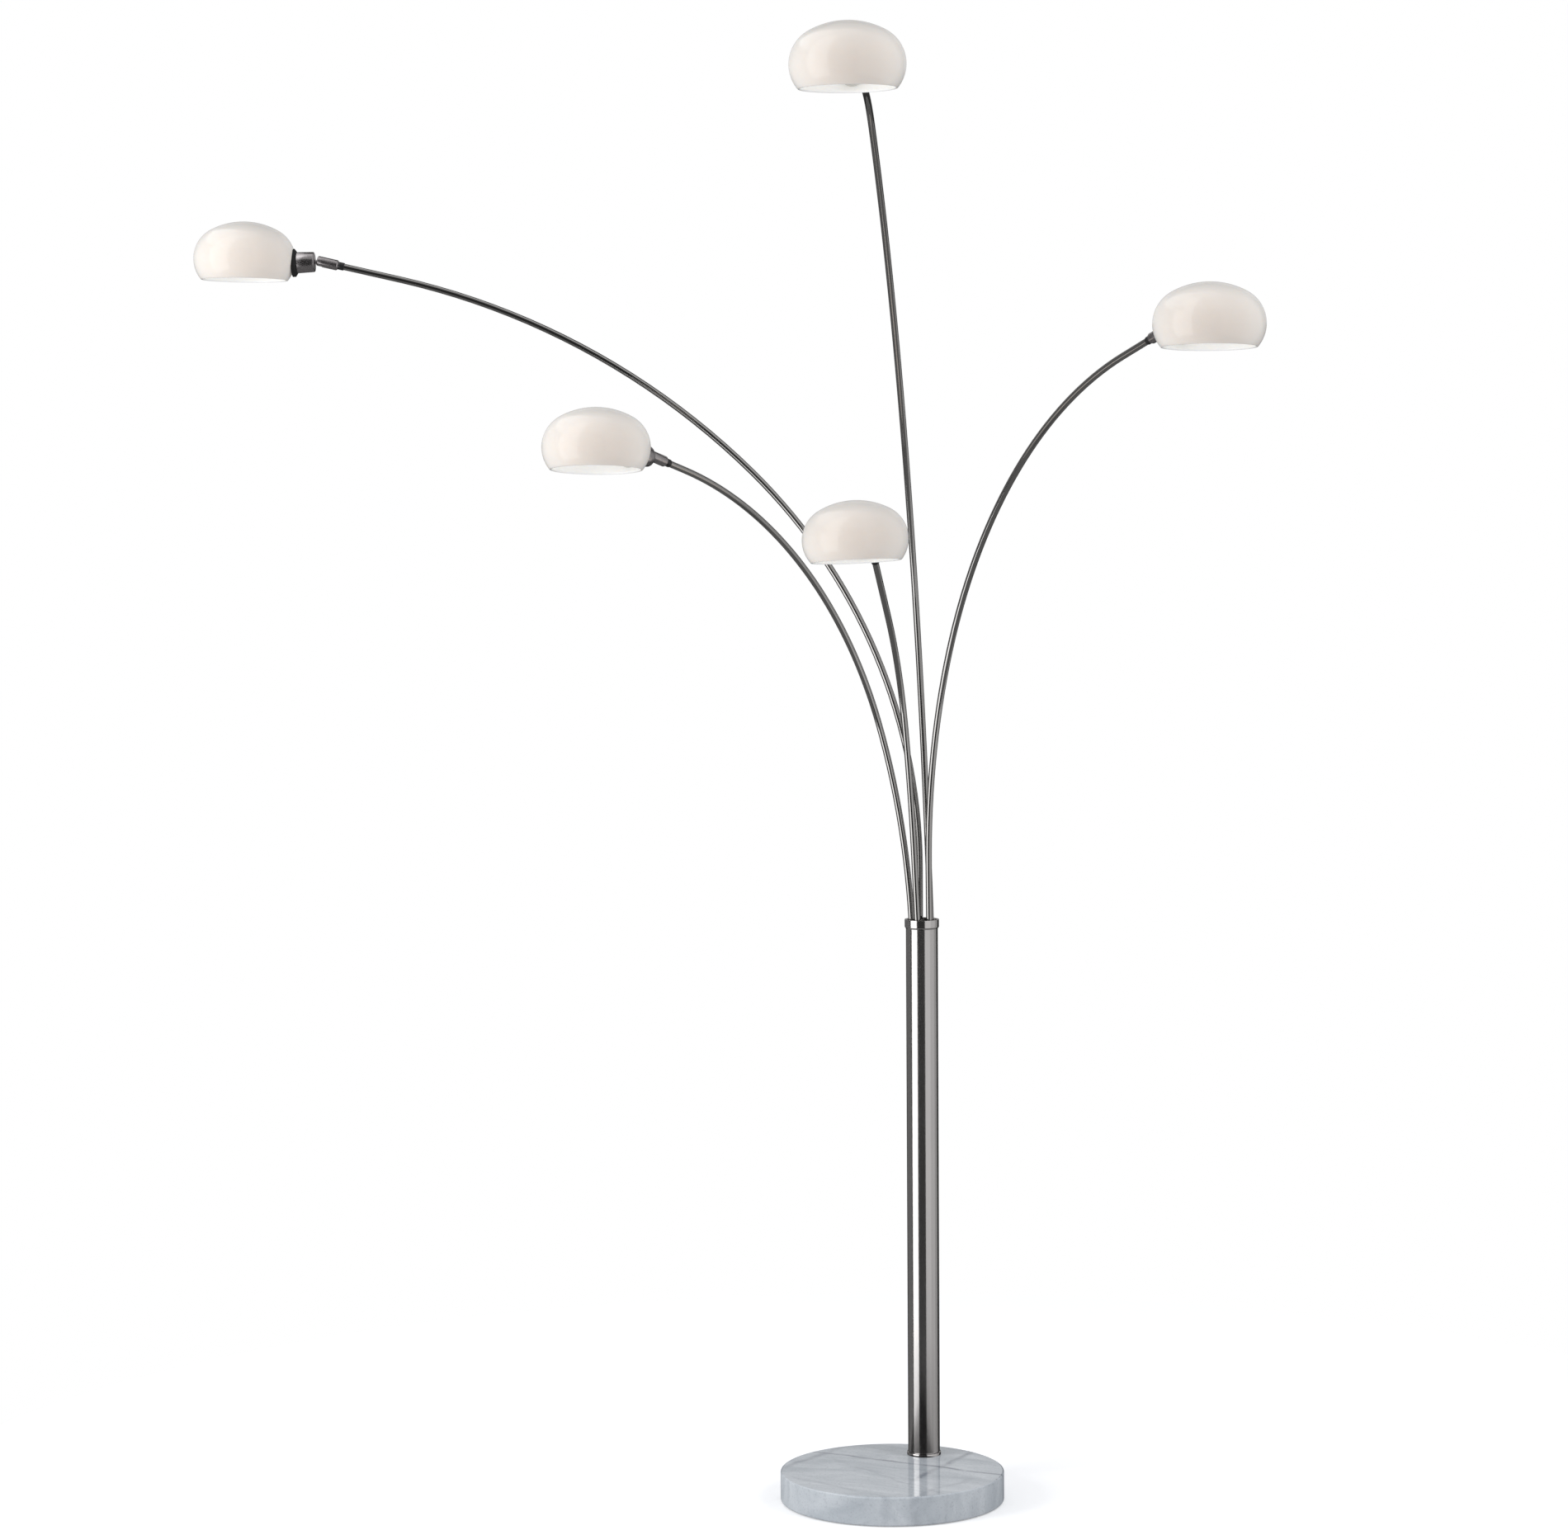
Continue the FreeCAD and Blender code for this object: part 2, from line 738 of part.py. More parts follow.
def dome_down(grow):
    """The same arcs from the top down to the rim."""
    rim = dome_side(grow)
    shoulder = dome_shoulder(grow)
    top = dome_top(grow)
    return [
        (top[0], top[1], crown_radius + grow, -1),
        (shoulder[0], shoulder[1], side_radius + grow, -1),
        rim,
    ]


def shade_spot():
    """The shade's own frame, measured in the head's frame: it pitches up about its side hole."""
    at_hole = Placement(
        Vector(glass_outside.value, 0, 0), Rotation(Vector(0, 1, 0), -S["shade_pitch"].value))
    from_hole = Placement(Vector(wall_reach.value, 0, S["socket_drop"].value), Rotation())
    return at_hole.multiply(from_hole)


def make_glass(name):
    """Opal glass dome, open below, with a round hole in its side for the lamp holder."""
    outline = dome_corners(ZERO) + dome_down(-S["shade_wall"])
    place = head_place(name).multiply(shade_spot())
    body = turned_body(name + "_shade", outline, place)
    hole = new_sketch(body, name + "_shade_hole", "YZ_Plane")
    draw_circle(hole, S["holder_diameter"] + S["hole_gap"] * 2, ZERO, -S["socket_drop"])
    pocket(body, hole, reverse=cuts_forward(body, hole))


def cuts_forward(body, hole):
    """Whether the cut has to be turned round to reach the wall on the arm's side."""
    normal = hole.Placement.Rotation.multVec(Vector(0, 0, 1))
    return normal.x < 0


def dome_solid(name, grow):
    """The space inside the shade's surface, moved outward by grow, as a tool for fitting pieces."""
    sketch = doc.addObject("Sketcher::SketchObject", name + "_outline")
    draw_outline(sketch, dome_corners(grow) + [(ZERO, -S["shade_skirt_height"])])
    solid = doc.addObject("Part::Revolution", name)
    solid.Source = sketch
    solid.Axis = Vector(0, 1, 0)
    solid.Angle = 360
    solid.Solid = True
    solid.Placement = shade_spot().multiply(Placement(Vector(), Rotation(Vector(1, 0, 0), 90)))
    return solid


def ring_blank(name, inner, outer, start, length):
    """A plain ring along the head's X axis."""
    along = Placement(Vector(start.value, 0, 0), Rotation(Vector(0, 1, 0), 90))
    ring = doc.addObject("Part::Cut", name)
    ring.Base = cylinder(name + "_outer", outer, length, along)
    ring.Tool = cylinder(name + "_bore", inner, length, along)
    return ring


def make_gasket(name):
    """Black rubber ring between cup and glass, dished to the glass on its outer face."""
    blank = ring_blank(name + "_gasket_blank", S["holder_diameter"] + S["hole_gap"] * 2,
                       S["gasket_diameter"], cup_front, S["gasket_reach"])
    glass = dome_solid(name + "_gasket_cutter", S["seat_gap"])
    gasket = joined(name + "_gasket", "Part::Cut", [blank, glass])
    gasket.Label = name + "_gasket"
    gasket.Placement = head_place(name)
    parts[name + "_gasket"] = gasket


def make_clamp_ring(name):
    """Threaded ring inside the shade that clamps the glass against the gasket."""
    blank = ring_blank(name + "_clamp_blank", S["holder_diameter"] + S["fit_gap"] * 2,
                       S["clamp_ring_diameter"], glass_outside, S["shade_wall"] + S["clamp_ring_height"])
    room = dome_solid(name + "_clamp_room", -S["shade_wall"] - S["seat_gap"])
    ring = joined(name + "_clamp_ring", "Part::Common", [blank, room])
    ring.Label = name + "_clamp_ring"
    ring.Placement = head_place(name)
    parts[name + "_clamp_ring"] = ring


def make_cup(name):
    """Cast socket cup with a hollow stem that ends in the swivel's ball."""
    ball = S["ball_diameter"] / 2
    stem = S["stem_diameter"] / 2
    wire = S["wire_bore"] / 2
    rear = S["cup_setoff"]
    rear_radius = S["cup_rear_diameter"] / 2
    front_radius = S["cup_front_diameter"] / 2
    rounding = S["cup_round"]
    wall = S["cup_wall"]
    ball_end = root(ball * ball - wire * wire)
    neck = root(ball * ball - stem * stem)
    lathe_body(name + "_cup", [
        (-ball_end, wire, ball, -1), (ZERO, ball, ball, -1), (neck, stem), (rear, stem),
        (rear, rear_radius - rounding, rounding, -1), (rear + rounding, rear_radius),
        (cup_front, front_radius), (cup_front, front_radius - wall),
        (rear + wall, rear_radius - wall), (rear + wall, wire),
    ], head_place(name))


holder_back = S["cup_setoff"] + S["cup_wall"]
holder_front = holder_back + S["holder_length"]


def make_holder(name):
    """Lamp holder in the cup; its threaded nose passes through the glass."""
    outer = S["holder_diameter"] / 2
    bore = outer - S["holder_wall"]
    floor = holder_front - S["holder_bore_depth"]
    lathe_body(name + "_holder", [
        (holder_back, ZERO), (holder_back, outer), (holder_front, outer), (holder_front, bore),
        (floor, bore), (floor, ZERO),
    ], head_place(name))


def make_bulb(name):
    """Small candle bulb, screwed into the holder and lying along the head."""
    base = S["bulb_base_diameter"] / 2
    widest = S["bulb_diameter"] / 2
    floor = holder_front - S["holder_bore_depth"]
    neck = holder_front + S["seat_gap"]
    far = floor + S["bulb_length"]
    belly = far - widest
    shoulder = widest - base
    lathe_body(name + "_bulb", [
        (floor, ZERO), (floor, base), (neck, base), (belly - shoulder, widest - S["seat_gap"]),
        (belly, widest, widest, -1), (far, ZERO),
    ], head_place(name))


# ---------------------------------------------------------------- build and write
def build():
    make_base()
    make_felt()
    make_bolt()
    make_post()
    make_cap()
    make_root_nuts()
    for name in ARMS:
        make_arm_tube(name)
        make_swivel(name)
        make_cup(name)
        make_gasket(name)
        make_glass(name)
        make_clamp_ring(name)
        make_holder(name)
        make_bulb(name)
    doc.recompute()


def check_and_write():
    """Stops on any failed object, then writes one file for each named piece."""
    for item in doc.Objects:
        if "Invalid" in item.State or "Error" in item.State:
            raise RuntimeError("%s failed: %s" % (item.Name, item.State))
    os.makedirs("parts", exist_ok=True)
    for name, item in parts.items():
        shape = item.Shape
        if shape.isNull() or not shape.isValid():
            raise RuntimeError("the shape of %s is not sound" % name)
        shape.exportStep(os.path.join("parts", name + ".step"))
        print("%-24s %d solids %10.1f mm3" % (name, len(shape.Solids), shape.Volume))


def report_joints():
    """Prints the axes that the moving pieces turn about."""
    for name in ARMS:
        tip = tip_place(name)
        head = head_place(name)
        nod = tip.Rotation.multVec(Vector(0, 1, 0))
        twist = tip.Rotation.multVec(Vector(1, 0, 0))
        facing = head.Rotation.multVec(Vector(1, 0, 0))
        print(name, "root", root_point(name), "pivot", tip.Base)
        print("   nod axis", nod, "twist axis", twist, "socket direction", facing)


build()
check_and_write()
report_joints()
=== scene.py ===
# %% [markdown]
# # Dressing a tree floor lamp
#
# A polished marble disc carries a steel pole. Five bent tubes fan out of its cap, and each one
# ends in a small swivel that holds an opal glass dome. The solids come from the construction
# model. This lesson sets up the studio, gives every piece its finish, and rebuilds the pieces
# whose smooth curves and small rounded edges matter most to the eye.

# %% Load the construction model
import json
import math

import bmesh
import bpy
from mathutils import Matrix, Vector


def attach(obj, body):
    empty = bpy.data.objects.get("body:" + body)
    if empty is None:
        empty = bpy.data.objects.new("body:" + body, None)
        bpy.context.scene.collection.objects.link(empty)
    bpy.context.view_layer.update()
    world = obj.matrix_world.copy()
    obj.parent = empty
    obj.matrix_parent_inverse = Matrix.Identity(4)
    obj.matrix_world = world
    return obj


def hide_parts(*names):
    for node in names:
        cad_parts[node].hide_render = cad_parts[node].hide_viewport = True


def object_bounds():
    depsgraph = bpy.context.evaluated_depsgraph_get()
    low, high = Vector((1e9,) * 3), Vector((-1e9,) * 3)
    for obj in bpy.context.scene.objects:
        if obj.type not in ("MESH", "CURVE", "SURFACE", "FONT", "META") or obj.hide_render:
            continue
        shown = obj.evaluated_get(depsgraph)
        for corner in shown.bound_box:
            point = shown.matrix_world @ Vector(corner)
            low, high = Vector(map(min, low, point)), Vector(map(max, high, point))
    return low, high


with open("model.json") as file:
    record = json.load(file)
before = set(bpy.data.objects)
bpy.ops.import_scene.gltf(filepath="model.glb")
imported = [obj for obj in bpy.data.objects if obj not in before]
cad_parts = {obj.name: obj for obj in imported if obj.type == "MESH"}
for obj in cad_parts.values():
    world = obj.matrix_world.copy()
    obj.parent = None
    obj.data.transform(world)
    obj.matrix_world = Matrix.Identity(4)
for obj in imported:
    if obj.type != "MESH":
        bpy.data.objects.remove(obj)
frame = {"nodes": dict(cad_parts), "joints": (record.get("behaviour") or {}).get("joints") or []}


def plain_box():
    """The whole object's lowest and highest corners as plain numbers."""
    return [[float(value) for value in corner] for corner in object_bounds()]


cad_box = plain_box()
print("construction model:", [round(high - low, 3) for low, high in zip(*cad_box)], "m")

# %% [markdown]
# ## The camera
#
# The picture was taken from a little above half height, with a long lens from six metres away, so
# the pole stays almost free of perspective. A camera looks along its own -Z axis. Standing it up
# is a quarter turn about X, and the heading, tilt and roll are three more turns.

# %% Camera
LENS, SENSOR_WIDTH = 98.5, 36.0
HEADING, TILT, ROLL = 27.0, -4.56, -0.39
STANDPOINT = Vector((2.693, -5.622, 1.582))

camera_data = bpy.data.cameras.new("camera")
camera_data.sensor_width = SENSOR_WIDTH
camera_data.lens = LENS
camera = bpy.data.objects.new("camera", camera_data)
bpy.context.collection.objects.link(camera)
camera.matrix_world = (
    Matrix.Translation(STANDPOINT)
    @ Matrix.Rotation(math.radians(HEADING), 4, "Z")
    @ Matrix.Rotation(math.radians(90 + TILT), 4, "X")
    @ Matrix.Rotation(math.radians(ROLL), 4, "Z")
)
bpy.context.scene.camera = camera
bpy.context.scene.view_settings.view_transform = "Standard"
print("camera stands", round(STANDPOINT.length, 2), "m from the base")

# %% [markdown]
# ## Small tools for materials
#
# Shader trees are easier to read when each node is made in one line, together with what feeds it.
# An input takes either a plain value or another node's output, and `feed` tells the two apart.
# `node` feeds inputs by their names. `in_order` feeds them one after the other, which suits the
# nodes that reckon or mix.


# %% Node helpers
def feed(socket, value):
    """Sets an input to a plain value, or joins it to an output; a node stands for its first one."""
    if isinstance(value, bpy.types.Node):
        value = value.outputs[0]
    if isinstance(value, bpy.types.NodeSocket):
        socket.id_data.links.new(value, socket)
    else:
        socket.default_value = value


def set_inputs(made, **values):
    """Feeds a node's inputs by name, with _ in place of each space."""
    for name, value in values.items():
        feed(made.inputs[name.replace("_", " ")], value)


def node(tree, kind, **values):
    """Makes a shader node; names with a capital letter are inputs, the others its own settings."""
    made = tree.nodes.new("ShaderNode" + kind)
    for name, value in values.items():
        if name[0].isupper():
            set_inputs(made, **{name: value})
        else:
            setattr(made, name, value)
    return made


def in_order(tree, kind, *values, **settings):
    """Makes a node and feeds its inputs one after the other."""
    made = node(tree, kind, **settings)
    for socket, value in zip(made.inputs, values):
        feed(socket, value)
    return made


# %% [markdown]
# Most patterns come down to the same few steps: sums with numbers, a dot product, a number
# carried over to another span, cloudy noise, and a mix of two tones. Each gets a short name.
# Colours are written as they look on screen, and turned into the linear values that a shader
# wants.


# %% Pattern helpers
def maths(tree, operation, *values, **settings):
    """A node that reckons with numbers."""
    return in_order(tree, "Math", *values, operation=operation, **settings)


def dot(tree, first, second):
    """How far one vector reaches along another, as a number."""
    return in_order(tree, "VectorMath", first, second, operation="DOT_PRODUCT").outputs["Value"]


def ramp(tree, value, start, end, first=0.0, last=1.0, soft=False):
    """Carries a number that runs from start to end over to the span from first to last."""
    return node(tree, "MapRange", Value=value, From_Min=start, From_Max=end, To_Min=first,
                To_Max=last, interpolation_type="SMOOTHSTEP" if soft else "LINEAR")


def noise(tree, place, **values):
    """A cloudy pattern, as a number."""
    return node(tree, "TexNoise", Vector=place, **values).outputs["Fac"]


def mixed(tree, factor, first, second, kind="RGBA"):
    """Two colours mixed by a factor, or two numbers where the kind is FLOAT."""
    mix = node(tree, "Mix", data_type=kind)
    first_at, second_at, result_at = {"RGBA": (6, 7, 2), "FLOAT": (2, 3, 0)}[kind]
    for at, value in ((0, factor), (first_at, first), (second_at, second)):
        feed(mix.inputs[at], value)
    return mix.outputs[result_at]


def colour(red, green, blue):
    """A colour given as it looks on screen (0 to 255), as the linear values of a shader."""
    def linear(value):
        share = value / 255
        return share / 12.92 if share <= 0.04045 else ((share + 0.055) / 1.055) ** 2.4
    return (linear(red), linear(green), linear(blue), 1.0)


# %% [markdown]
# ## The studio
#
# The picture has a plain white ground. A pale disc on the floor keeps the lamp's shadow, and the
# world around it is white wherever the camera, a mirror or a glass looks at it. For rays that
# only bring soft light, the world is dimmer, so pale pieces don't wash out.

# %% World
WHITE = (1.0, 1.0, 1.0, 1.0)
SOFT_LIGHT = 0.62


def empty_tree(thing):
    """The shader tree of a new material or world, cleared of the nodes it starts with."""
    thing.use_nodes = True
    thing.node_tree.nodes.clear()
    return thing.node_tree


def looking_rays(tree):
    """A node that is 1 for rays from the camera, a mirror or through glass, and 0 for others."""
    ray = node(tree, "LightPath").outputs
    straight = maths(tree, "MAXIMUM", ray["Is Camera Ray"], ray["Is Glossy Ray"])
    return maths(tree, "MAXIMUM", straight, ray["Is Transmission Ray"])


world = bpy.data.worlds.new("studio")
bpy.context.scene.world = world
tree = empty_tree(world)
soft_light = node(tree, "Background", Color=(0.93, 0.95, 1.0, 1.0), Strength=SOFT_LIGHT)
white_ground = node(tree, "Background", Color=WHITE, Strength=1.0)
node(tree, "OutputWorld",
     Surface=in_order(tree, "MixShader", looking_rays(tree), soft_light, white_ground))
print("world: white to the eye, soft light strength", SOFT_LIGHT)

# %% [markdown]
# ## The floor
#
# A round sheet is enough: beyond its edge the white world goes on. The sheet is lit a little
# short of white, and adds the rest for rays that look at it, so only the shadow shows. Steel
# mirrors the room below instead of it.

# %% Floor
FLOOR_RADIUS = 1.5
FLOOR_LIFT = 0.34
FLOOR_GAP = 0.0002


def stage_object(name, bm, material):
    """Puts a mesh in the scene as part of the studio, not of the lamp."""
    mesh = bpy.data.meshes.new(name)
    bm.to_mesh(mesh)
    bm.free()
    mesh.materials.append(material)
    made = bpy.data.objects.new(name, mesh)
    bpy.context.collection.objects.link(made)
    return made


floor_paint = bpy.data.materials.new("studio_floor")
tree = empty_tree(floor_paint)
paper = node(tree, "BsdfDiffuse", Color=(0.86, 0.86, 0.86, 1.0))
glow = node(tree, "Emission", Color=WHITE,
            Strength=maths(tree, "MULTIPLY", looking_rays(tree), FLOOR_LIFT))
node(tree, "OutputMaterial", Surface=in_order(tree, "AddShader", paper, glow))

bm = bmesh.new()
bmesh.ops.create_circle(bm, cap_ends=True, segments=96, radius=FLOOR_RADIUS)
floor = stage_object("floor", bm, floor_paint)
floor.location.z = cad_box[0][2] - FLOOR_GAP
floor.visible_glossy = False
print("floor radius", FLOOR_RADIUS, "m")

# %% [markdown]
# ## What the steel mirrors
#
# Polished tube shows its surroundings as stripes along its length: a bright one from the window
# side, a dark one from where the camera stands, a broad grey one from the other wall, and dark
# edges from the far side of the room. Curved screens far outside the picture give those stripes,
# and a dark floor and a grey ceiling close the room. Two windows hang in front of them: a far one
# brightens the polished stone, and a high one on the left gives the tubes a lighter upper edge.
# Only mirror rays meet the screens, so they neither light the lamp nor stand in any view. A
# screen is an upright arc, spun about the lamp.

# %% Reflected screens
WALL_DISTANCE, WINDOW_DISTANCE = 9.0, 8.5
GROUND_EDGE, DARK_ROOM_TOP, CEILING_EDGE = -34, 40, 74
SCREEN_RINGS, SCREEN_BAYS = 12, 24
ROOM_MIDDLE = Vector((0, 0, 1.0))
CAMERA_SIDE = math.atan2(STANDPOINT.y, STANDPOINT.x)


def direction(bearing, rise):
    """The way to a spot of the room: degrees from the camera to the picture's right, and up."""
    turn, rise = CAMERA_SIDE + math.radians(bearing), math.radians(rise)
    return Vector((math.cos(rise) * math.cos(turn), math.cos(rise) * math.sin(turn),
                   math.sin(rise)))


def glowing_paint(name, strength):
    """A material that only gives off an even light, which no surface gathers as lamp light."""
    paint = bpy.data.materials.new(name)
    tree = empty_tree(paint)
    glow = node(tree, "Emission", Color=(1.0, 0.99, 0.98, 1.0), Strength=strength)
    node(tree, "OutputMaterial", Surface=glow)
    paint.cycles.emission_sampling = "NONE"
    return paint


def mirror_screen(name, start, end, bottom, top, strength, distance=WALL_DISTANCE):
    """A piece of a sphere around the lamp, between two bearings and two rises in degrees."""
    bm = bmesh.new()
    rises = [bottom + (top - bottom) * step / SCREEN_RINGS for step in range(SCREEN_RINGS + 1)]
    points = [bm.verts.new(ROOM_MIDDLE + distance * direction(start, rise)) for rise in rises]
    lines = [bm.edges.new(pair) for pair in zip(points, points[1:])]
    bmesh.ops.spin(bm, geom=points + lines, cent=(0, 0, 0), axis=(0, 0, 1),
                   angle=math.radians(end - start), steps=SCREEN_BAYS, use_duplicate=False)
    screen = stage_object(name, bm, glowing_paint(name, strength))
    for rays in ("camera", "diffuse", "transmission", "volume_scatter", "shadow"):
        setattr(screen, "visible_" + rays, False)


# name, first and last bearing, strength
for name, start, end, strength in (
        ("dim_left_wall", -146, -90, 0.17),
        ("dark_window_frame", -90, -80, 0.05),
        ("bright_window", -80, -36, 2.0),
        ("grey_right_wall", 21, 62, 0.74),
        ("greyer_right_wall", 62, 98, 0.6),
        ("shaded_right_wall", 98, 124, 0.42),
        ("dark_far_wall", 124, 214, 0.05),
):
    mirror_screen(name, start, end, GROUND_EDGE, CEILING_EDGE, strength)
mirror_screen("dark_room", -36, 21, GROUND_EDGE, DARK_ROOM_TOP, 0.04)
mirror_screen("dim_upper_room", -36, 21, DARK_ROOM_TOP, CEILING_EDGE, 0.4)
mirror_screen("dark_ground", 0, 360, -90, GROUND_EDGE, 0.18)
mirror_screen("grey_ceiling", 0, 360, CEILING_EDGE, 90, 0.8)
mirror_screen("far_window", 146, 214, 6, 34, 0.42, WINDOW_DISTANCE)
mirror_screen("high_left_window", -146, -80, 34, CEILING_EDGE, 1.2, WINDOW_DISTANCE)
print("mirror screens", WALL_DISTANCE, "m away")

# %% [markdown]
# ## Lamps
#
# One large soft lamp stands on the window side, in front and above. A weaker one opposite it
# keeps the shadow side open. They are area lamps, whose size makes their shadows soft. Mirror
# rays pass them by: what the steel shows is left to the screens.

# %% Area lamps
AIM = Vector((0, 0, 1.1))


def soft_lamp(name, bearing, height, distance, size, power):
    """A square area lamp that looks at the height where the arms fan out."""
    data = bpy.data.lights.new(name, "AREA")
    data.size = size
    data.energy = power
    lamp = bpy.data.objects.new(name, data)
    lamp.visible_glossy = False
    bpy.context.collection.objects.link(lamp)
    lamp.location = distance * direction(bearing, 0) + Vector((0, 0, height))
    lamp.rotation_euler = (AIM - lamp.location).to_track_quat("-Z", "Y").to_euler()


soft_lamp("window_lamp", bearing=-62, height=1.9, distance=4.2, size=1.8, power=84)
soft_lamp("fill_lamp", bearing=60, height=4.6, distance=4.6, size=2.6, power=80)
print("two soft lamps")

# %% [markdown]
# ## Shared effects
#
# Steel that was drawn and polished has hair-fine lines along its length. Stretched noise gives
# them: the pattern's place is multiplied by a different number along each axis. Every smooth
# piece also carries faint smudges from hands. Both effects are node groups, so each finish can
# use them with its own values.


# %% Node groups
def effect_group(name, inputs, outputs):
    """An empty node group with named sockets, and its two end nodes."""
    group = bpy.data.node_groups.new(name, "ShaderNodeTree")
    for label, kind, value in inputs:
        socket = group.interface.new_socket(name=label, in_out="INPUT", socket_type=kind)
        if value is not None:
            socket.default_value = value
    for label, kind in outputs:
        group.interface.new_socket(name=label, in_out="OUTPUT", socket_type=kind)
    return group, group.nodes.new("NodeGroupInput").outputs, group.nodes.new("NodeGroupOutput")


hairlines, given, result = effect_group(
    "hairlines",
    [("Place", "NodeSocketVector", None), ("Stretch", "NodeSocketVector", (1.0, 1.0, 0.02)),
     ("Fineness", "NodeSocketFloat", 900.0)],
    [("Line", "NodeSocketFloat")])
stretched = in_order(hairlines, "VectorMath", given["Place"], given["Stretch"],
                     operation="MULTIPLY")
set_inputs(result, Line=noise(hairlines, stretched, Scale=given["Fineness"], Detail=3.0,
                              Roughness=0.6))

smudges, given, result = effect_group(
    "smudges",
    [("Place", "NodeSocketVector", None), ("Size", "NodeSocketFloat", 14.0),
     ("Least", "NodeSocketFloat", 0.1), ("Most", "NodeSocketFloat", 0.2)],
    [("Value", "NodeSocketFloat")])
clouds = noise(smudges, given["Place"], Scale=given["Size"], Detail=4.0, Roughness=0.55,
               Distortion=0.4)
set_inputs(result, Value=ramp(smudges, clouds, 0.35, 0.68, given["Least"], given["Most"]))
print("node groups:", [group.name for group in bpy.data.node_groups])

# %% [markdown]
# ## A finish in one call
#
# Most finishes differ only in two tones, their smudges and whether they have lines. `finish`
# builds such a material. The tones are mixed by the pattern, the smudges drive the roughness, and
# a small bump lets the lines catch the light. `place` names a stored attribute, or the object's
# coordinates when it is empty.

# %% Finish builder
RELIEF_DEPTH = 0.0002


def new_material(name):
    """A new material, its shader tree and the shader itself."""
    material = bpy.data.materials.new(name)
    material.use_nodes = True
    return material, material.node_tree, material.node_tree.nodes["Principled BSDF"]


def use_group(tree, group, **values):
    """Places a node group in a material and feeds its inputs."""
    made = node(tree, "Group", node_tree=group)
    set_inputs(made, **values)
    return made


def pattern_place(tree, attribute):
    """Where on the piece a pattern is: a stored attribute, or the object's own coordinates."""
    if attribute:
        return node(tree, "Attribute", attribute_name=attribute).outputs["Vector"]
    return node(tree, "TexCoord").outputs["Object"]


def finish(name, dark, light, roughness, metallic=0.0, stretch=(1.0, 1.0, 1.0), fineness=60.0,
           bump=0.0, smudge_size=14.0, place=""):
    """A material of two mixed tones with smudged roughness and an optional fine relief."""
    material, tree, shader = new_material(name)
    where = pattern_place(tree, place)
    lines = use_group(tree, hairlines, Place=where, Stretch=stretch, Fineness=fineness)
    marks = use_group(tree, smudges, Place=where, Size=smudge_size, Least=roughness[0],
                      Most=roughness[1])
    set_inputs(shader, Metallic=metallic, Base_Color=mixed(tree, lines, dark, light),
               Roughness=marks)
    if bump:
        set_inputs(shader, Normal=node(tree, "Bump", Height=lines, Strength=bump,
                                       Distance=RELIEF_DEPTH))
    return material


# %% [markdown]
# ## Steel, rubber and plastics
#
# The bent tubes are polished, with a grain almost too fine to see, and the swivels are turned, so
# their lines run round them. The plate in the cap and the ferrules are black. Threads and washers
# out of sight are zinc plated.

# %% Plain finishes
cap_steel = finish("cap_steel", colour(198, 196, 196), colour(216, 214, 214), (0.1, 0.17), 1.0,
                   stretch=(0.05, 0.05, 1.0), fineness=1800.0, bump=0.08, smudge_size=40.0)
tube_steel = finish("tube_steel", colour(168, 167, 166), colour(180, 179, 178), (0.035, 0.065),
                    1.0, stretch=(1.0, 1.0, 0.012), fineness=2600.0, smudge_size=11.0,
                    place="unbent")
swivel_steel = finish("swivel_steel", colour(168, 164, 166), colour(190, 186, 188), (0.22, 0.32),
                      1.0, stretch=(1.0, 0.05, 0.05), fineness=1800.0, bump=0.12,
                      smudge_size=60.0, place="turned_place")
zinc_steel = finish("zinc_steel", colour(166, 168, 164), colour(198, 199, 192), (0.3, 0.45), 0.9,
                    fineness=420.0, bump=0.1, smudge_size=50.0)
plate_black = finish("plate_black", colour(22, 22, 24), colour(36, 36, 38), (0.35, 0.5),
                     fineness=700.0, bump=0.15)
ferrule_black = finish("ferrule_black", colour(24, 24, 25), colour(40, 40, 42), (0.22, 0.34),
                       fineness=900.0, bump=0.1)
rubber_black = finish("rubber_black", colour(16, 16, 17), colour(34, 34, 35), (0.55, 0.75),
                      fineness=800.0, bump=0.3)
white_plastic = finish("white_plastic", colour(226, 223, 215), colour(236, 234, 227), (0.25, 0.36),
                       fineness=200.0, bump=0.06)
felt_grey = finish("felt_grey", colour(42, 42, 44), colour(74, 74, 76), (0.85, 0.95),
                   fineness=1500.0, bump=0.5)
nylon_white = finish("nylon_white", colour(222, 219, 208), colour(232, 229, 220), (0.4, 0.5),
                     fineness=300.0, bump=0.06)
print("plain finishes:", len(bpy.data.materials))

# %% [markdown]
# ## The brushed pole
#
# The pole was brushed along its length. Grooves that fine aren't modelled: they spread a
# reflection across them, and keep it sharp along them. The shader's anisotropy does that,
# measured from a tangent that runs round the pole. It keeps the stripes of the room straight down
# to the foot.

# %% Pole steel
pole_steel = finish("pole_steel", colour(200, 198, 198), colour(212, 210, 210), (0.2, 0.26), 1.0,
                    stretch=(1.0, 1.0, 0.006), fineness=1400.0, bump=0.02, smudge_size=6.0)
tree = pole_steel.node_tree
set_inputs(tree.nodes["Principled BSDF"], Anisotropic=0.95, Anisotropic_Rotation=0.25,
           Tangent=node(tree, "Tangent", direction_type="RADIAL", axis="Z"))
print("pole steel has", len(tree.nodes), "nodes")

# %% [markdown]
# ## Marble
#
# The disc is a cool grey-white marble. Broad streaked clouds run across it, a long darker vein
# crosses the top from side to side, and a second vein meets it right of the middle. A vein is a
# straight line whose distance is shaken by noise, drawn soft and thin, fading at its ends and
# broken here and there. It is a cut through the whole stone, so it also shows on the disc's side.


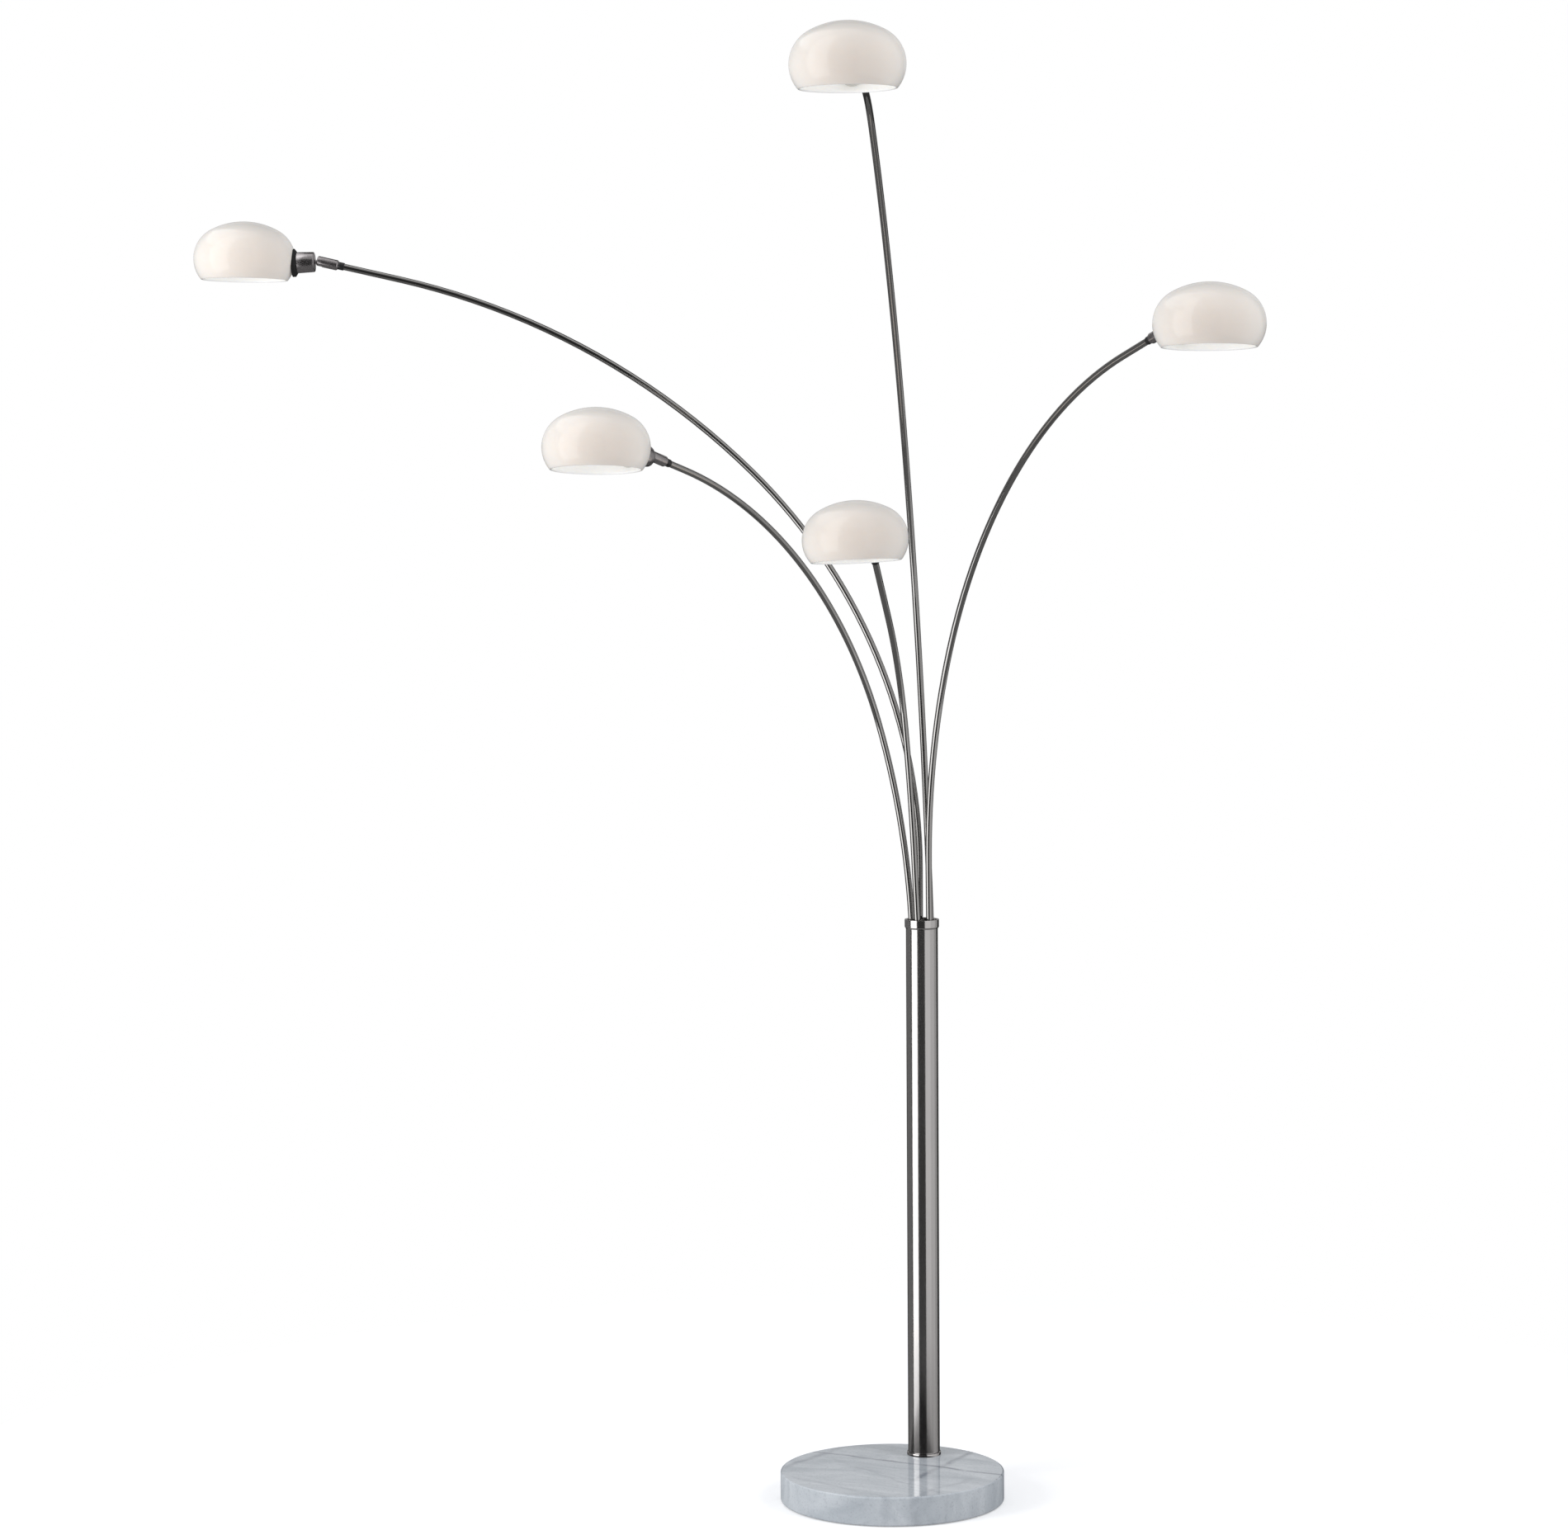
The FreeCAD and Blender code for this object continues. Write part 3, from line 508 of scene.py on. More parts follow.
# %% Vein helper
def vein(tree, place, start, end, width, sway, seed):
    """A soft mask, 1 on a wavering line from start to end (metres, seen from above)."""
    run = Vector((end[0] - start[0], end[1] - start[1], 0))
    across = Vector((-run.y, run.x, 0)).normalized()
    moved = in_order(tree, "VectorMath", place, (start[0], start[1], 0), operation="SUBTRACT")
    shake = noise(tree, place, noise_dimensions="4D", W=seed, Scale=14.0, Detail=5.0)
    swayed = maths(tree, "MULTIPLY_ADD", shake, sway, -sway / 2)
    distance = maths(tree, "ABSOLUTE", maths(tree, "ADD", dot(tree, moved, across), swayed))
    line = ramp(tree, distance, 0.0, width, 1.0, 0.0, soft=True)
    along = dot(tree, moved, run / run.length_squared)
    ends = maths(tree, "MULTIPLY", ramp(tree, along, -0.15, 0.1, soft=True),
                 ramp(tree, along, 0.9, 1.15, 1.0, 0.0, soft=True))
    gaps = noise(tree, place, noise_dimensions="4D", W=seed + 10, Scale=26.0, Detail=4.0,
                 Roughness=0.65)
    return maths(tree, "MULTIPLY", maths(tree, "MULTIPLY", line, ends),
                 ramp(tree, gaps, 0.36, 0.6, 0.25))


# %% [markdown]
# The clouds are noise stretched along one turned direction, mixed from two close greys. Each vein
# is then laid over what is there already, more or less strongly, and fine grains over the veins.

# %% Marble's tones
marble, tree, shader = new_material("marble")
place = node(tree, "TexCoord").outputs["Object"]
turned_grain = node(tree, "Mapping", Vector=place, Rotation=(0, 0, math.radians(24)),
                    Scale=(1.0, 3.2, 1.6))
streaks = noise(tree, turned_grain, Scale=7.0, Detail=9.0, Roughness=0.62, Distortion=0.9)
stone = mixed(tree, ramp(tree, streaks, 0.34, 0.66), colour(186, 193, 199), colour(219, 224, 228))
# start and end, width, sway, seed, depth
for start, end, width, sway, seed, depth in (
        ((-0.16, 0.052), (0.165, 0.04), 0.0065, 0.024, 1.0, 0.8),
        ((0.062, 0.15), (0.056, -0.03), 0.0095, 0.03, 2.0, 0.62),
        ((-0.15, -0.07), (-0.125, 0.1), 0.0120, 0.04, 3.0, 0.5),
        ((-0.1, 0.02), (0.15, -0.11), 0.0060, 0.05, 4.0, 0.2),
        ((0.1, -0.16), (0.12, 0.0), 0.0090, 0.05, 5.0, 0.3),
        ((-0.13, -0.1), (0.06, -0.15), 0.0080, 0.06, 6.0, 0.25),
):
    strength = maths(tree, "MULTIPLY", vein(tree, place, start, end, width, sway, seed), depth)
    stone = mixed(tree, strength, stone, colour(122, 127, 138))
grains = noise(tree, place, Scale=330.0, Detail=2.0, Roughness=0.5)
stone = mixed(tree, ramp(tree, grains, 0.54, 0.72, 0.0, 0.3), stone, colour(146, 150, 158))
print("marble's tones take", len(tree.nodes), "nodes")

# %% [markdown]
# The disc's side is sawn and ground, so it is less polished than the top, the same all the way
# round. Its colour is also painted a little darker than the top, as painted shade, the same all
# the way round. The surface's direction tells side from top, and everything that differs follows
# that one mask. A clear coat gives the polish, and only the top has it.

# %% Marble's side and polish
# Painted shade: the side's colour is this share of the top's.
SIDE_PAINTED_SHADE = 0.84
level = node(tree, "SeparateXYZ", Vector=node(tree, "NewGeometry").outputs["Normal"]).outputs["Z"]
cut_side = ramp(tree, level, 0.3, 0.95, 1.0, 0.0)
# The side's colour is scaled down here, as painted shade.
side_shaded_stone = node(tree, "VectorMath", operation="SCALE", Vector=stone,
             Scale=ramp(tree, cut_side, 0.0, 1.0, 1.0, SIDE_PAINTED_SHADE))
polish = use_group(tree, smudges, Place=place, Size=10.0, Least=0.05, Most=0.1)
set_inputs(shader, Base_Color=side_shaded_stone, Coat_Roughness=0.03,
           Coat_Weight=ramp(tree, cut_side, 0.0, 1.0, 0.35, 0.0),
           Roughness=maths(tree, "ADD", ramp(tree, cut_side, 0.0, 1.0, 0.0, 0.5), polish))
print("marble has", len(tree.nodes), "nodes")

# %% [markdown]
# ## Opal glass
#
# The domes are blown opal glass: white glass under a clear gloss. Seen square on, its thick body
# looks warm and a little pink; towards the outline the light skims it and it looks paler. The
# angle to the eye mixes those two tones, with faint clouds in both. Light spreads inside the
# wall, which is what subsurface scattering does. The outer face also gives off a little light, a
# painted glow that lifts its shading. The inner face is lit by the bulb and looks white, so it has
# its own material that gives off a little light, painted light that stands for the bulb's.


# %% Opal glass materials
def opal(name, square_on, skimmed, glow):
    """Glossy opal glass of two tones that gives off a little light, a painted glow except in the
    bulb.
    """
    material, tree, shader = new_material(name)
    place = node(tree, "TexCoord").outputs["Object"]
    skim = node(tree, "LayerWeight", Blend=0.45).outputs["Facing"]
    clouds = noise(tree, place, Scale=6.0, Detail=1.0, Roughness=0.3)
    shifted = maths(tree, "MULTIPLY_ADD", clouds, 0.16, skim, use_clamp=True)
    tones = mixed(tree, shifted, square_on, skimmed)
    ripple = use_group(tree, smudges, Place=place, Size=22.0, Least=0.34, Most=0.42)
    # The emission is a painted glow on the domes and their insides; the bulb glows as a lamp.
    set_inputs(shader, Base_Color=tones, Roughness=ripple, Specular_IOR_Level=0.25,
               Subsurface_Weight=0.25, Subsurface_Radius=(0.01, 0.008, 0.006),
               Subsurface_Scale=1.0, Coat_Weight=0.6, Coat_Roughness=0.035,
               Emission_Color=tones, Emission_Strength=glow)
    material.cycles.emission_sampling = "NONE"
    return material


# The last number is the glow: painted light on the domes and their insides.
opal_glass = opal("opal_glass", colour(224, 213, 203), colour(240, 236, 230), 0.11)
opal_inside = opal("opal_inside", colour(246, 245, 243), colour(240, 239, 236), 0.2)
bulb_glass = opal("bulb_glass", colour(250, 248, 244), colour(244, 240, 232), 0.5)
print("opal glass:", [glass.name for glass in (opal_glass, opal_inside, bulb_glass)])

# %% [markdown]
# ## Finishes for the pieces that stay as they are
#
# Where the construction model's own shape is right, the piece only needs its finish. Each node's
# name ends in the kind of piece it is, so one table serves all five arms. The pole shows the same
# stripes down to its foot, with no pale stone in them, so mirror rays pass the disc by.

# %% Finish the construction pieces
FINISHES = {
    "marble_base": marble, "base_felt": felt_grey, "base_bolt": zinc_steel,
    "base_washer": zinc_steel, "foot_ring": cap_steel, "pole_plug": zinc_steel, "pole": pole_steel,
    "cap_ring": cap_steel, "arm_plate": plate_black, "root_nuts": zinc_steel, "tube": tube_steel,
    "ferrule": ferrule_black, "barrel": swivel_steel, "ball_seat": nylon_white, "cup": swivel_steel,
    "gasket": rubber_black, "shade": opal_glass, "clamp_ring": white_plastic,
    "holder": white_plastic, "bulb": bulb_glass,
}
for name, thing in frame["nodes"].items():
    kind = max((ending for ending in FINISHES if name.endswith(ending)), key=len)
    thing.data.materials.clear()
    thing.data.materials.append(FINISHES[kind])
frame["nodes"]["marble_base"].visible_glossy = False
print("finished nodes:", len(frame["nodes"]))

# %% [markdown]
# ## Where each swivel sits
#
# The construction model's joints already say where every head turns. A head's frame has its
# origin in the middle of the ball, X along the tube's tip and Y along the axis that the head nods
# about. The head itself is that frame turned down by its droop.

# %% Frames of the five heads
DROOP = {"left_high": 15.2, "left_low": 14.8, "middle_low": 47.7, "middle_high": 4.3,
         "right_high": 17.7}
ARM_NAMES = list(DROOP)
joints = {joint["name"]: joint for joint in frame["joints"]}


def axes_matrix(origin, x_axis, y_axis, z_axis):
    """A placement from its origin and its three axes."""
    made = Matrix((x_axis, y_axis, z_axis)).transposed().to_4x4()
    made.translation = origin
    return made


def tip_frame(arm):
    """The swivel's frame at rest: X along the tube's tip, Y the nod axis."""
    along = Vector(joints[arm + "_twist"]["axis"]).normalized()
    nod = Vector(joints[arm + "_nod"]["axis"]).normalized()
    return axes_matrix(Vector(joints[arm + "_nod"]["pos_m"]), along, nod, along.cross(nod))


def head_frame(arm):
    """The head's frame: the tip's frame, nodded down by the droop."""
    return tip_frame(arm) @ Matrix.Rotation(math.radians(DROOP[arm]), 4, "Y")


for arm in ARM_NAMES:
    print(arm, "ball at", [round(value, 3) for value in tip_frame(arm).translation])

# %% [markdown]
# ## Turning a piece
#
# Most of the lamp's metal is turned on a lathe. The same thing works here: a closed outline of a
# few corners beside the X axis is spun once around it, and then every sharp corner gets a small
# round, because real metal has no knife edges and the round is what catches a thin line of light.
# Before the piece is moved to its place, each point's own place is stored, so that turning lines
# follow it.


# %% Lathe
SHARP, SMOOTH_BELOW = math.radians(24), math.radians(40)
SAME_POINT = 1e-7


def finished_piece(name, bm, material, body, slot, *nodes):
    """Turns a bmesh into a piece of the lamp that rides on a body and stands for its nodes."""
    mesh = bpy.data.meshes.new(name)
    bm.to_mesh(mesh)
    bm.free()
    for face in mesh.polygons:
        face.use_smooth = True
    mesh.set_sharp_from_angle(angle=SMOOTH_BELOW)
    mesh.materials.append(material)
    piece = bpy.data.objects.new(name, mesh)
    bpy.context.collection.objects.link(piece)
    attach(piece, body)
    if nodes:
        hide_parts(*nodes)
    return piece


def spun(bm, corners, segments, closed=True):
    """Spins an outline of (x, radius) corners, in millimetres, once around the X axis."""
    points = [bm.verts.new((x / 1000, radius / 1000, 0)) for x, radius in corners]
    pairs = list(zip(points, points[1:] + points[:1] if closed else points[1:]))
    lines = [bm.edges.new(pair) for pair in pairs]
    bmesh.ops.spin(bm, geom=points + lines, cent=(0, 0, 0), axis=(1, 0, 0), angle=math.tau,
                   steps=segments, use_merge=True, use_duplicate=False)
    bmesh.ops.remove_doubles(bm, verts=bm.verts, dist=SAME_POINT)
    bmesh.ops.recalc_face_normals(bm, faces=bm.faces)


def rounded(bm, radius, segments=2):
    """Rounds every edge where the surface turns sharply; the radius is in millimetres."""
    edges = [edge for edge in bm.edges if edge.is_manifold and edge.calc_face_angle() > SHARP]
    bmesh.ops.bevel(bm, geom=edges, offset=radius / 1000, affect="EDGES", segments=segments,
                    profile=0.5, material=-1, clamp_overlap=True)


def store_place(bm):
    """Remembers where each point is on the lathe, for patterns that follow the turning."""
    layer = bm.verts.layers.float_vector.new("turned_place")
    for vert in bm.verts:
        vert[layer] = vert.co


def turned_piece(name, corners, place, material, body, slot, *nodes, segments=64, edge=0.3,
                 closed=True):
    """One lathe-turned piece: spun, rounded and put in its place."""
    bm = bmesh.new()
    spun(bm, corners, segments, closed)
    if edge:
        rounded(bm, edge)
    store_place(bm)
    bmesh.ops.transform(bm, matrix=place, verts=bm.verts)
    return finished_piece(name, bm, material, body, slot, *nodes)


# %% [markdown]
# ## The post
#
# The pole is a plain tube. It stands in a foot ring that is a little wider and has a thin shadow
# groove on top, and it ends in a cap ring whose thick lip holds the drilled plate below the rim.
# All three are turned about the pole's middle line, which stands behind the middle of the disc.

# %% Pole, foot ring and cap ring
POLE_BEHIND = 110.5
FOOT_RING_AT, POLE_AT, CAP_RING_AT = 43.7, 48.7, 836.5
POLE_RADIUS, POLE_BORE, POLE_LENGTH = 23.75, 21.75, 793.3
RING_RADIUS, CAP_RADIUS = 25.25, 25.5
POLE = [(0, POLE_BORE), (0, POLE_RADIUS), (POLE_LENGTH, POLE_RADIUS), (POLE_LENGTH, POLE_BORE)]
FOOT_RING = [(0, 6.5), (0, RING_RADIUS), (4.1, RING_RADIUS), (4.1, 21.95), (5, 21.95), (5, 21.7),
             (17, 21.7), (17, 6.5)]
CAP_RING = [(0, 23.8), (0, 24.0), (2.4, CAP_RADIUS), (13.5, CAP_RADIUS), (13.5, 22.3),
            (9.5, 22.3), (9.5, 23.8)]


def upright(height):
    """The post's own lathe frame at a height in millimetres: X points up its middle line."""
    middle = Vector((0, POLE_BEHIND, height)) / 1000
    return Matrix.Translation(middle) @ Matrix.Rotation(math.radians(-90), 4, "Y")


for name, outline, height, steel, stands_for, edge in (
        ("pole_tube", POLE, POLE_AT, pole_steel, "pole", 0.25),
        ("foot_collar", FOOT_RING, FOOT_RING_AT, cap_steel, "foot_ring", 0.35),
        ("cap_collar", CAP_RING, CAP_RING_AT, cap_steel, "cap_ring", 0.4),
):
    turned_piece(name, outline, upright(height), steel, "post", "pole_steel", stands_for,
                 segments=128, edge=edge)
print("post turned, to", POLE_AT + POLE_LENGTH, "mm")

# %% [markdown]
# ## Bending a tube
#
# Each arm is one length of thin steel tube with two bends in a plane. A ring-shaped face stands
# for the tube's end. Moving it along a straight stretch, and spinning it about each bend's
# centre, draws the whole tube, wall and all. Every new ring remembers how far along the tube it
# is and where it is on the ring: that is the place it had before bending, and the drawn lines
# follow it.

# %% Sizes of the five bends
# facing and lean (degrees), rise, low radius and angle, high radius and angle, tip (millimetres)
BENDS = {
    "left_high": (205.0, 0.0, 79.0, 828.0, 45.2, 1086.0, 31.7, 101.0),
    "left_low": (256.0, -4.0, 2.0, 906.0, 19.1, 599.0, 53.8, 50.0),
    "middle_low": (284.0, -2.5, 85.0, 946.0, 12.5, 377.0, 28.9, 125.0),
    "middle_high": (291.0, -2.0, 119.0, 1279.0, 53.0, 220.0, 35.0, 82.0),
    "right_high": (326.0, -0.5, 80.0, 829.0, 21.7, 754.0, 50.6, 80.0),
}
TUBE_RADIUS, TUBE_BORE = 4.75, 3.75
ROOT_TAIL, FLANGE_RADIUS, FLANGE_HEIGHT, FLANGE_ROUND = 12.0, 6.2, 1.6, 0.4
DEGREES_PER_RING = 1.5


def bend_axes(arm):
    """Outward, upward and turning axes of an arm's bend."""
    facing, lean = (math.radians(value) for value in BENDS[arm][:2])
    outward = Vector((math.cos(facing), math.sin(facing), 0))
    left = Vector((-math.sin(facing), math.cos(facing), 0))
    upward = Vector((0, 0, math.cos(lean))) + left * math.sin(lean)
    return outward, upward, upward.cross(outward)


# %% [markdown]
# Four small steps make any bent tube: draw the end's ring, pull it straight, bend it, and mark
# each new ring with its place along the straight tube.


# %% Tube helpers
def mark_ring(bm, ring, travelled):
    """Stores how far along the straight tube a new ring is; its place across is already known."""
    layer = bm.verts.layers.float_vector["unbent"]
    for item in ring:
        if isinstance(item, bmesh.types.BMVert):
            item[layer] = (item[layer].x, item[layer].y, travelled)


def end_face(bm, root):
    """The tube's end as a ring-shaped face at its root, with each point's place stored."""
    layer = bm.verts.layers.float_vector.new("unbent")
    for radius in (TUBE_RADIUS, TUBE_BORE):
        bmesh.ops.create_circle(bm, segments=32, radius=radius / 1000)
    bmesh.ops.bridge_loops(bm, edges=bm.edges)
    for vert in bm.verts:
        vert[layer] = vert.co
    bmesh.ops.translate(bm, vec=root, verts=bm.verts)
    return bm.verts[:] + bm.edges[:] + bm.faces[:]


def pull(bm, ring, step, travelled):
    """Carries the tube on in a straight line."""
    moved = bmesh.ops.extrude_face_region(bm, geom=ring)["geom"]
    old = [item for item in ring if isinstance(item, bmesh.types.BMFace)]
    if travelled > 0:
        bmesh.ops.delete(bm, geom=[face for face in old if face.is_valid], context="FACES_ONLY")
    points = [item for item in moved if isinstance(item, bmesh.types.BMVert)]
    bmesh.ops.translate(bm, vec=step, verts=points)
    mark_ring(bm, moved, travelled + step.length)
    return moved, travelled + step.length


def bend(bm, ring, centre, axis, angle, radius, travelled):
    """Carries the tube round a bend, one ring at a time."""
    steps = max(1, round(angle / DEGREES_PER_RING))
    share = math.radians(angle / steps)
    for _ in range(steps):
        ring = bmesh.ops.spin(bm, geom=ring, cent=centre, axis=axis, angle=share, steps=1,
                              use_duplicate=False)["geom_last"]
        travelled += radius / 1000 * share
        mark_ring(bm, ring, travelled)
    return ring, travelled


def bent_tube(arm, start):
    """One arm's tube from below the plate to its tip, as a closed mesh; start is at plate level."""
    _, _, rise, low_radius, low_angle, high_radius, high_angle, tip = BENDS[arm]
    outward, upward, left = bend_axes(arm)
    bm = bmesh.new()
    bottom = start - Vector((0, 0, ROOT_TAIL / 1000))
    ring, travelled = end_face(bm, bottom), 0.0
    tail = ROOT_TAIL + FLANGE_HEIGHT / 2
    ring, travelled = pull(bm, ring, Vector((0, 0, tail / 1000)), travelled)
    ring, travelled = pull(bm, ring, upward * (rise / 1000), travelled)
    knee = start + Vector((0, 0, FLANGE_HEIGHT / 2000)) + upward * (rise / 1000)
    centre = knee + outward * (low_radius / 1000)
    ring, travelled = bend(bm, ring, centre, left, low_angle, low_radius, travelled)
    low = math.radians(low_angle)
    spoke = outward * math.cos(low) - upward * math.sin(low)
    centre = centre + spoke * ((high_radius - low_radius) / 1000)
    ring, travelled = bend(bm, ring, centre, left, high_angle, high_radius, travelled)
    last = math.radians(low_angle + high_angle)
    ring, travelled = pull(
        bm, ring, (outward * math.sin(last) + upward * math.cos(last)) * (tip / 1000), travelled)
    bmesh.ops.recalc_face_normals(bm, faces=bm.faces)
    return bm, travelled


def add_flange(bm, start):
    """The small flange at the tube's foot, a short ring that rests on the plate."""
    layer = bm.verts.layers.float_vector["unbent"]
    disc = bmesh.ops.create_cone(bm, cap_ends=True, segments=48, radius1=FLANGE_RADIUS / 1000,
                                 radius2=FLANGE_RADIUS / 1000, depth=FLANGE_HEIGHT / 1000)["verts"]
    rims = {edge for vert in disc for edge in vert.link_edges if edge.calc_face_angle(0) > SHARP}
    bmesh.ops.bevel(bm, geom=list(rims), offset=FLANGE_ROUND / 1000, affect="EDGES", segments=3,
                    profile=0.5, material=-1)
    fresh = [vert for vert in bm.verts if vert[layer].length == 0]
    for vert in fresh:
        vert[layer] = vert.co
    bmesh.ops.translate(bm, vec=start + Vector((0, 0, FLANGE_HEIGHT / 2000)), verts=fresh)


# %% [markdown]
# The five arms differ only in the numbers of the table above, so one loop bends them all.

# %% Bend the five tubes
for arm in ARM_NAMES:
    root = Vector(joints[arm + "_turn"]["pos_m"])
    bm, length = bent_tube(arm, root)
    add_flange(bm, root)
    finished_piece(arm + "_bent_tube", bm, tube_steel, arm + "_arm", "tube_steel", arm + "_tube")
    print(arm, "tube length", round(length, 3), "m")

# %% [markdown]
# ## The swivels
#
# At the tip sits a black ferrule, and on it a short steel barrel that holds the head's ball. Its
# nose is slotted, so the stem can nod down. The slot is cut with a block, as a mill would cut it.


# %% Cutting helper
def cut(piece, cutter_bm):
    """Takes the cutter's shape out of a piece for good."""
    mesh = bpy.data.meshes.new("cutter")
    cutter_bm.to_mesh(mesh)
    cutter_bm.free()
    cutter = bpy.data.objects.new("cutter", mesh)
    bpy.context.collection.objects.link(cutter)
    tool = piece.modifiers.new("cut", "BOOLEAN")
    tool.operation = "DIFFERENCE"
    tool.object = cutter
    tool.solver = "EXACT"
    graph = bpy.context.evaluated_depsgraph_get()
    piece.data = bpy.data.meshes.new_from_object(piece.evaluated_get(graph))
    piece.modifiers.remove(tool)
    bpy.data.objects.remove(cutter)


def block(low, high, place):
    """A rectangular cutter between two corners in millimetres, put in its place."""
    bm = bmesh.new()
    bmesh.ops.create_cube(bm, size=1.0)
    size = [(top - bottom) / 1000 for bottom, top in zip(low, high)]
    middle = [(top + bottom) / 2000 for bottom, top in zip(low, high)]
    bmesh.ops.scale(bm, vec=size, verts=bm.verts)
    bmesh.ops.translate(bm, vec=middle, verts=bm.verts)
    bmesh.ops.transform(bm, matrix=place, verts=bm.verts)
    return bm


# %% [markdown]
# Ferrule and barrel are turned in the swivel's own frame, with the ball's middle at zero. The
# outline goes along the outside, round the nose's lip into the ball's room, and back along the
# bore.

# %% Ferrules and barrels
BARREL = [(-26.3, 4.8), (-26.3, 5.65), (-24.3, 7.65), (4.5, 7.65), (5.7, 6.45), (5.7, 4.6),
          (3.2, 4.6), (3.2, 5.55), (-12, 5.55), (-12, 1.5), (-18.3, 1.5), (-18.3, 4.8)]
FERRULE = [(-35.3, 4.8), (-35.3, 4.9), (-34.5, 5.7), (-26.35, 5.7), (-26.35, 4.8)]
SLOT_HALF, SLOT_FRONT, SLOT_BELOW = 3.3, 9, -12
for arm in ARM_NAMES:
    place = tip_frame(arm)
    turned_piece(arm + "_collar", FERRULE, place, ferrule_black, arm + "_arm", "black_ferrule",
                 arm + "_ferrule", edge=0.3)
    barrel = turned_piece(arm + "_swivel_barrel", BARREL, place, swivel_steel, arm + "_swivel",
                          "swivel_steel", arm + "_barrel", edge=0.25)
    cut(barrel, block((-SLOT_HALF, -SLOT_HALF, SLOT_BELOW), (SLOT_FRONT, SLOT_HALF, 0), place))
print("swivels:", len(ARM_NAMES))

# %% [markdown]
# ## The heads
#
# The cup is a short turned can with a rounded back, on a stem that ends in a ball. The holder
# sits in it and reaches through the side of the glass, where a threaded ring clamps the dome
# against the rubber gasket.

# %% Cup and holder
BALL, STEM, WIRE = 5.5, 3.0, 1.5
CUP_BACK, CUP_FRONT, CUP_WALL = 9.2, 35.2, 1.6
CUP_REAR_RADIUS, CUP_FRONT_RADIUS = 14.8, 15.6
BALL_STEPS = 10


def cup_outline():
    """The ball's curve in ten short steps, then stem, back, side and inside of the cup."""
    first, last = math.asin(WIRE / BALL), math.pi - math.asin(STEM / BALL)
    angles = [first + (last - first) * step / BALL_STEPS for step in range(BALL_STEPS + 1)]
    return [(-BALL * math.cos(angle), BALL * math.sin(angle)) for angle in angles] + [
        (CUP_BACK - 0.8, STEM), (CUP_BACK, STEM + 0.8), (CUP_BACK, CUP_REAR_RADIUS - 1.6),
        (CUP_BACK + 0.5, CUP_REAR_RADIUS - 0.45), (CUP_BACK + 1.6, CUP_REAR_RADIUS),
        (CUP_FRONT, CUP_FRONT_RADIUS), (CUP_FRONT, CUP_FRONT_RADIUS - CUP_WALL),
        (CUP_BACK + CUP_WALL, CUP_REAR_RADIUS - CUP_WALL), (CUP_BACK + CUP_WALL, WIRE)]


HOLDER_BACK, HOLDER_FLOOR, HOLDER_FRONT = 10.8, 36.8, 60.8
HOLDER_RADIUS, HOLDER_BORE = 12.75, 8.25
HOLDER = [(HOLDER_BACK, 0), (HOLDER_BACK, HOLDER_RADIUS), (HOLDER_FRONT, HOLDER_RADIUS),
          (HOLDER_FRONT, HOLDER_BORE), (HOLDER_FLOOR, HOLDER_BORE), (HOLDER_FLOOR, 0)]
for arm in ARM_NAMES:
    place = head_frame(arm)
    turned_piece(arm + "_socket_cup", cup_outline(), place, swivel_steel, arm + "_head",
                 "swivel_steel", arm + "_cup", edge=0.3)
    turned_piece(arm + "_lamp_holder", HOLDER, place, white_plastic, arm + "_head",
                 "holder_plastic", arm + "_holder", edge=0.5, closed=False)
print("cups and holders:", 2 * len(ARM_NAMES))

# %% [markdown]
# ## The bulbs
#
# A small frosted bulb lies along each head: a screw base with its thread rolled into the metal,
# and a glass body that widens from a neck into a round end. Both are turned from their outlines,
# and neither needs a wall, since nothing shows of their insides.

# %% Bulbs
SCREW_START, SCREW_PITCH, SCREW_TURNS = 40.0, 2.4, 8
SCREW_ROOT, SCREW_CREST = 6.3, 7.0
BULB_NECK, BULB_MIDDLE, BULB_RADIUS = 60.4, 85.3, 13.5
BULB_ARC_START, BULB_ARC, BULB_ARC_STEPS = -50, 140, 12


def screw_outline():
    """The screw base's outline: a pointed foot, the rolled thread and a flat front."""
    thread = [(HOLDER_FLOOR, 0), (HOLDER_FLOOR + 0.8, 5.2)]
    for turn in range(SCREW_TURNS):
        start = SCREW_START + turn * SCREW_PITCH
        thread += [(start, SCREW_ROOT), (start + SCREW_PITCH / 2, SCREW_CREST)]
    return thread + [(BULB_NECK, 6.6), (BULB_NECK, 0)]


def glass_outline():
    """The glass body's outline: a neck that widens into a round end."""
    glass = [(BULB_NECK, 0), (BULB_NECK, 6.8), (64.0, 7.3)]
    for step in range(BULB_ARC_STEPS):
        angle = math.radians(BULB_ARC_START + step * BULB_ARC / BULB_ARC_STEPS)
        glass.append((BULB_MIDDLE + BULB_RADIUS * math.sin(angle), BULB_RADIUS * math.cos(angle)))
    return glass + [(BULB_MIDDLE + BULB_RADIUS, 0)]


for arm in ARM_NAMES:
    place = head_frame(arm)
    turned_piece(arm + "_screw_base", screw_outline(), place, zinc_steel, arm + "_head",
                 "bulb_glass", arm + "_bulb", edge=0.15, closed=False)
    turned_piece(arm + "_bulb_glass", glass_outline(), place, bulb_glass, arm + "_head",
                 "bulb_glass", edge=0, closed=False)
print("bulbs:", len(ARM_NAMES))

# %% [markdown]
# ## The glass domes
#
# A dome's outline is two arcs that run smoothly into each other: a wide crown and a tighter side.
# A single point spun about an arc's centre draws that arc. Going out over the outer face, round
# the fire-polished rim and back along the inner face gives a closed wall, and spinning it once
# makes the dome. The hole for the holder is drilled last.

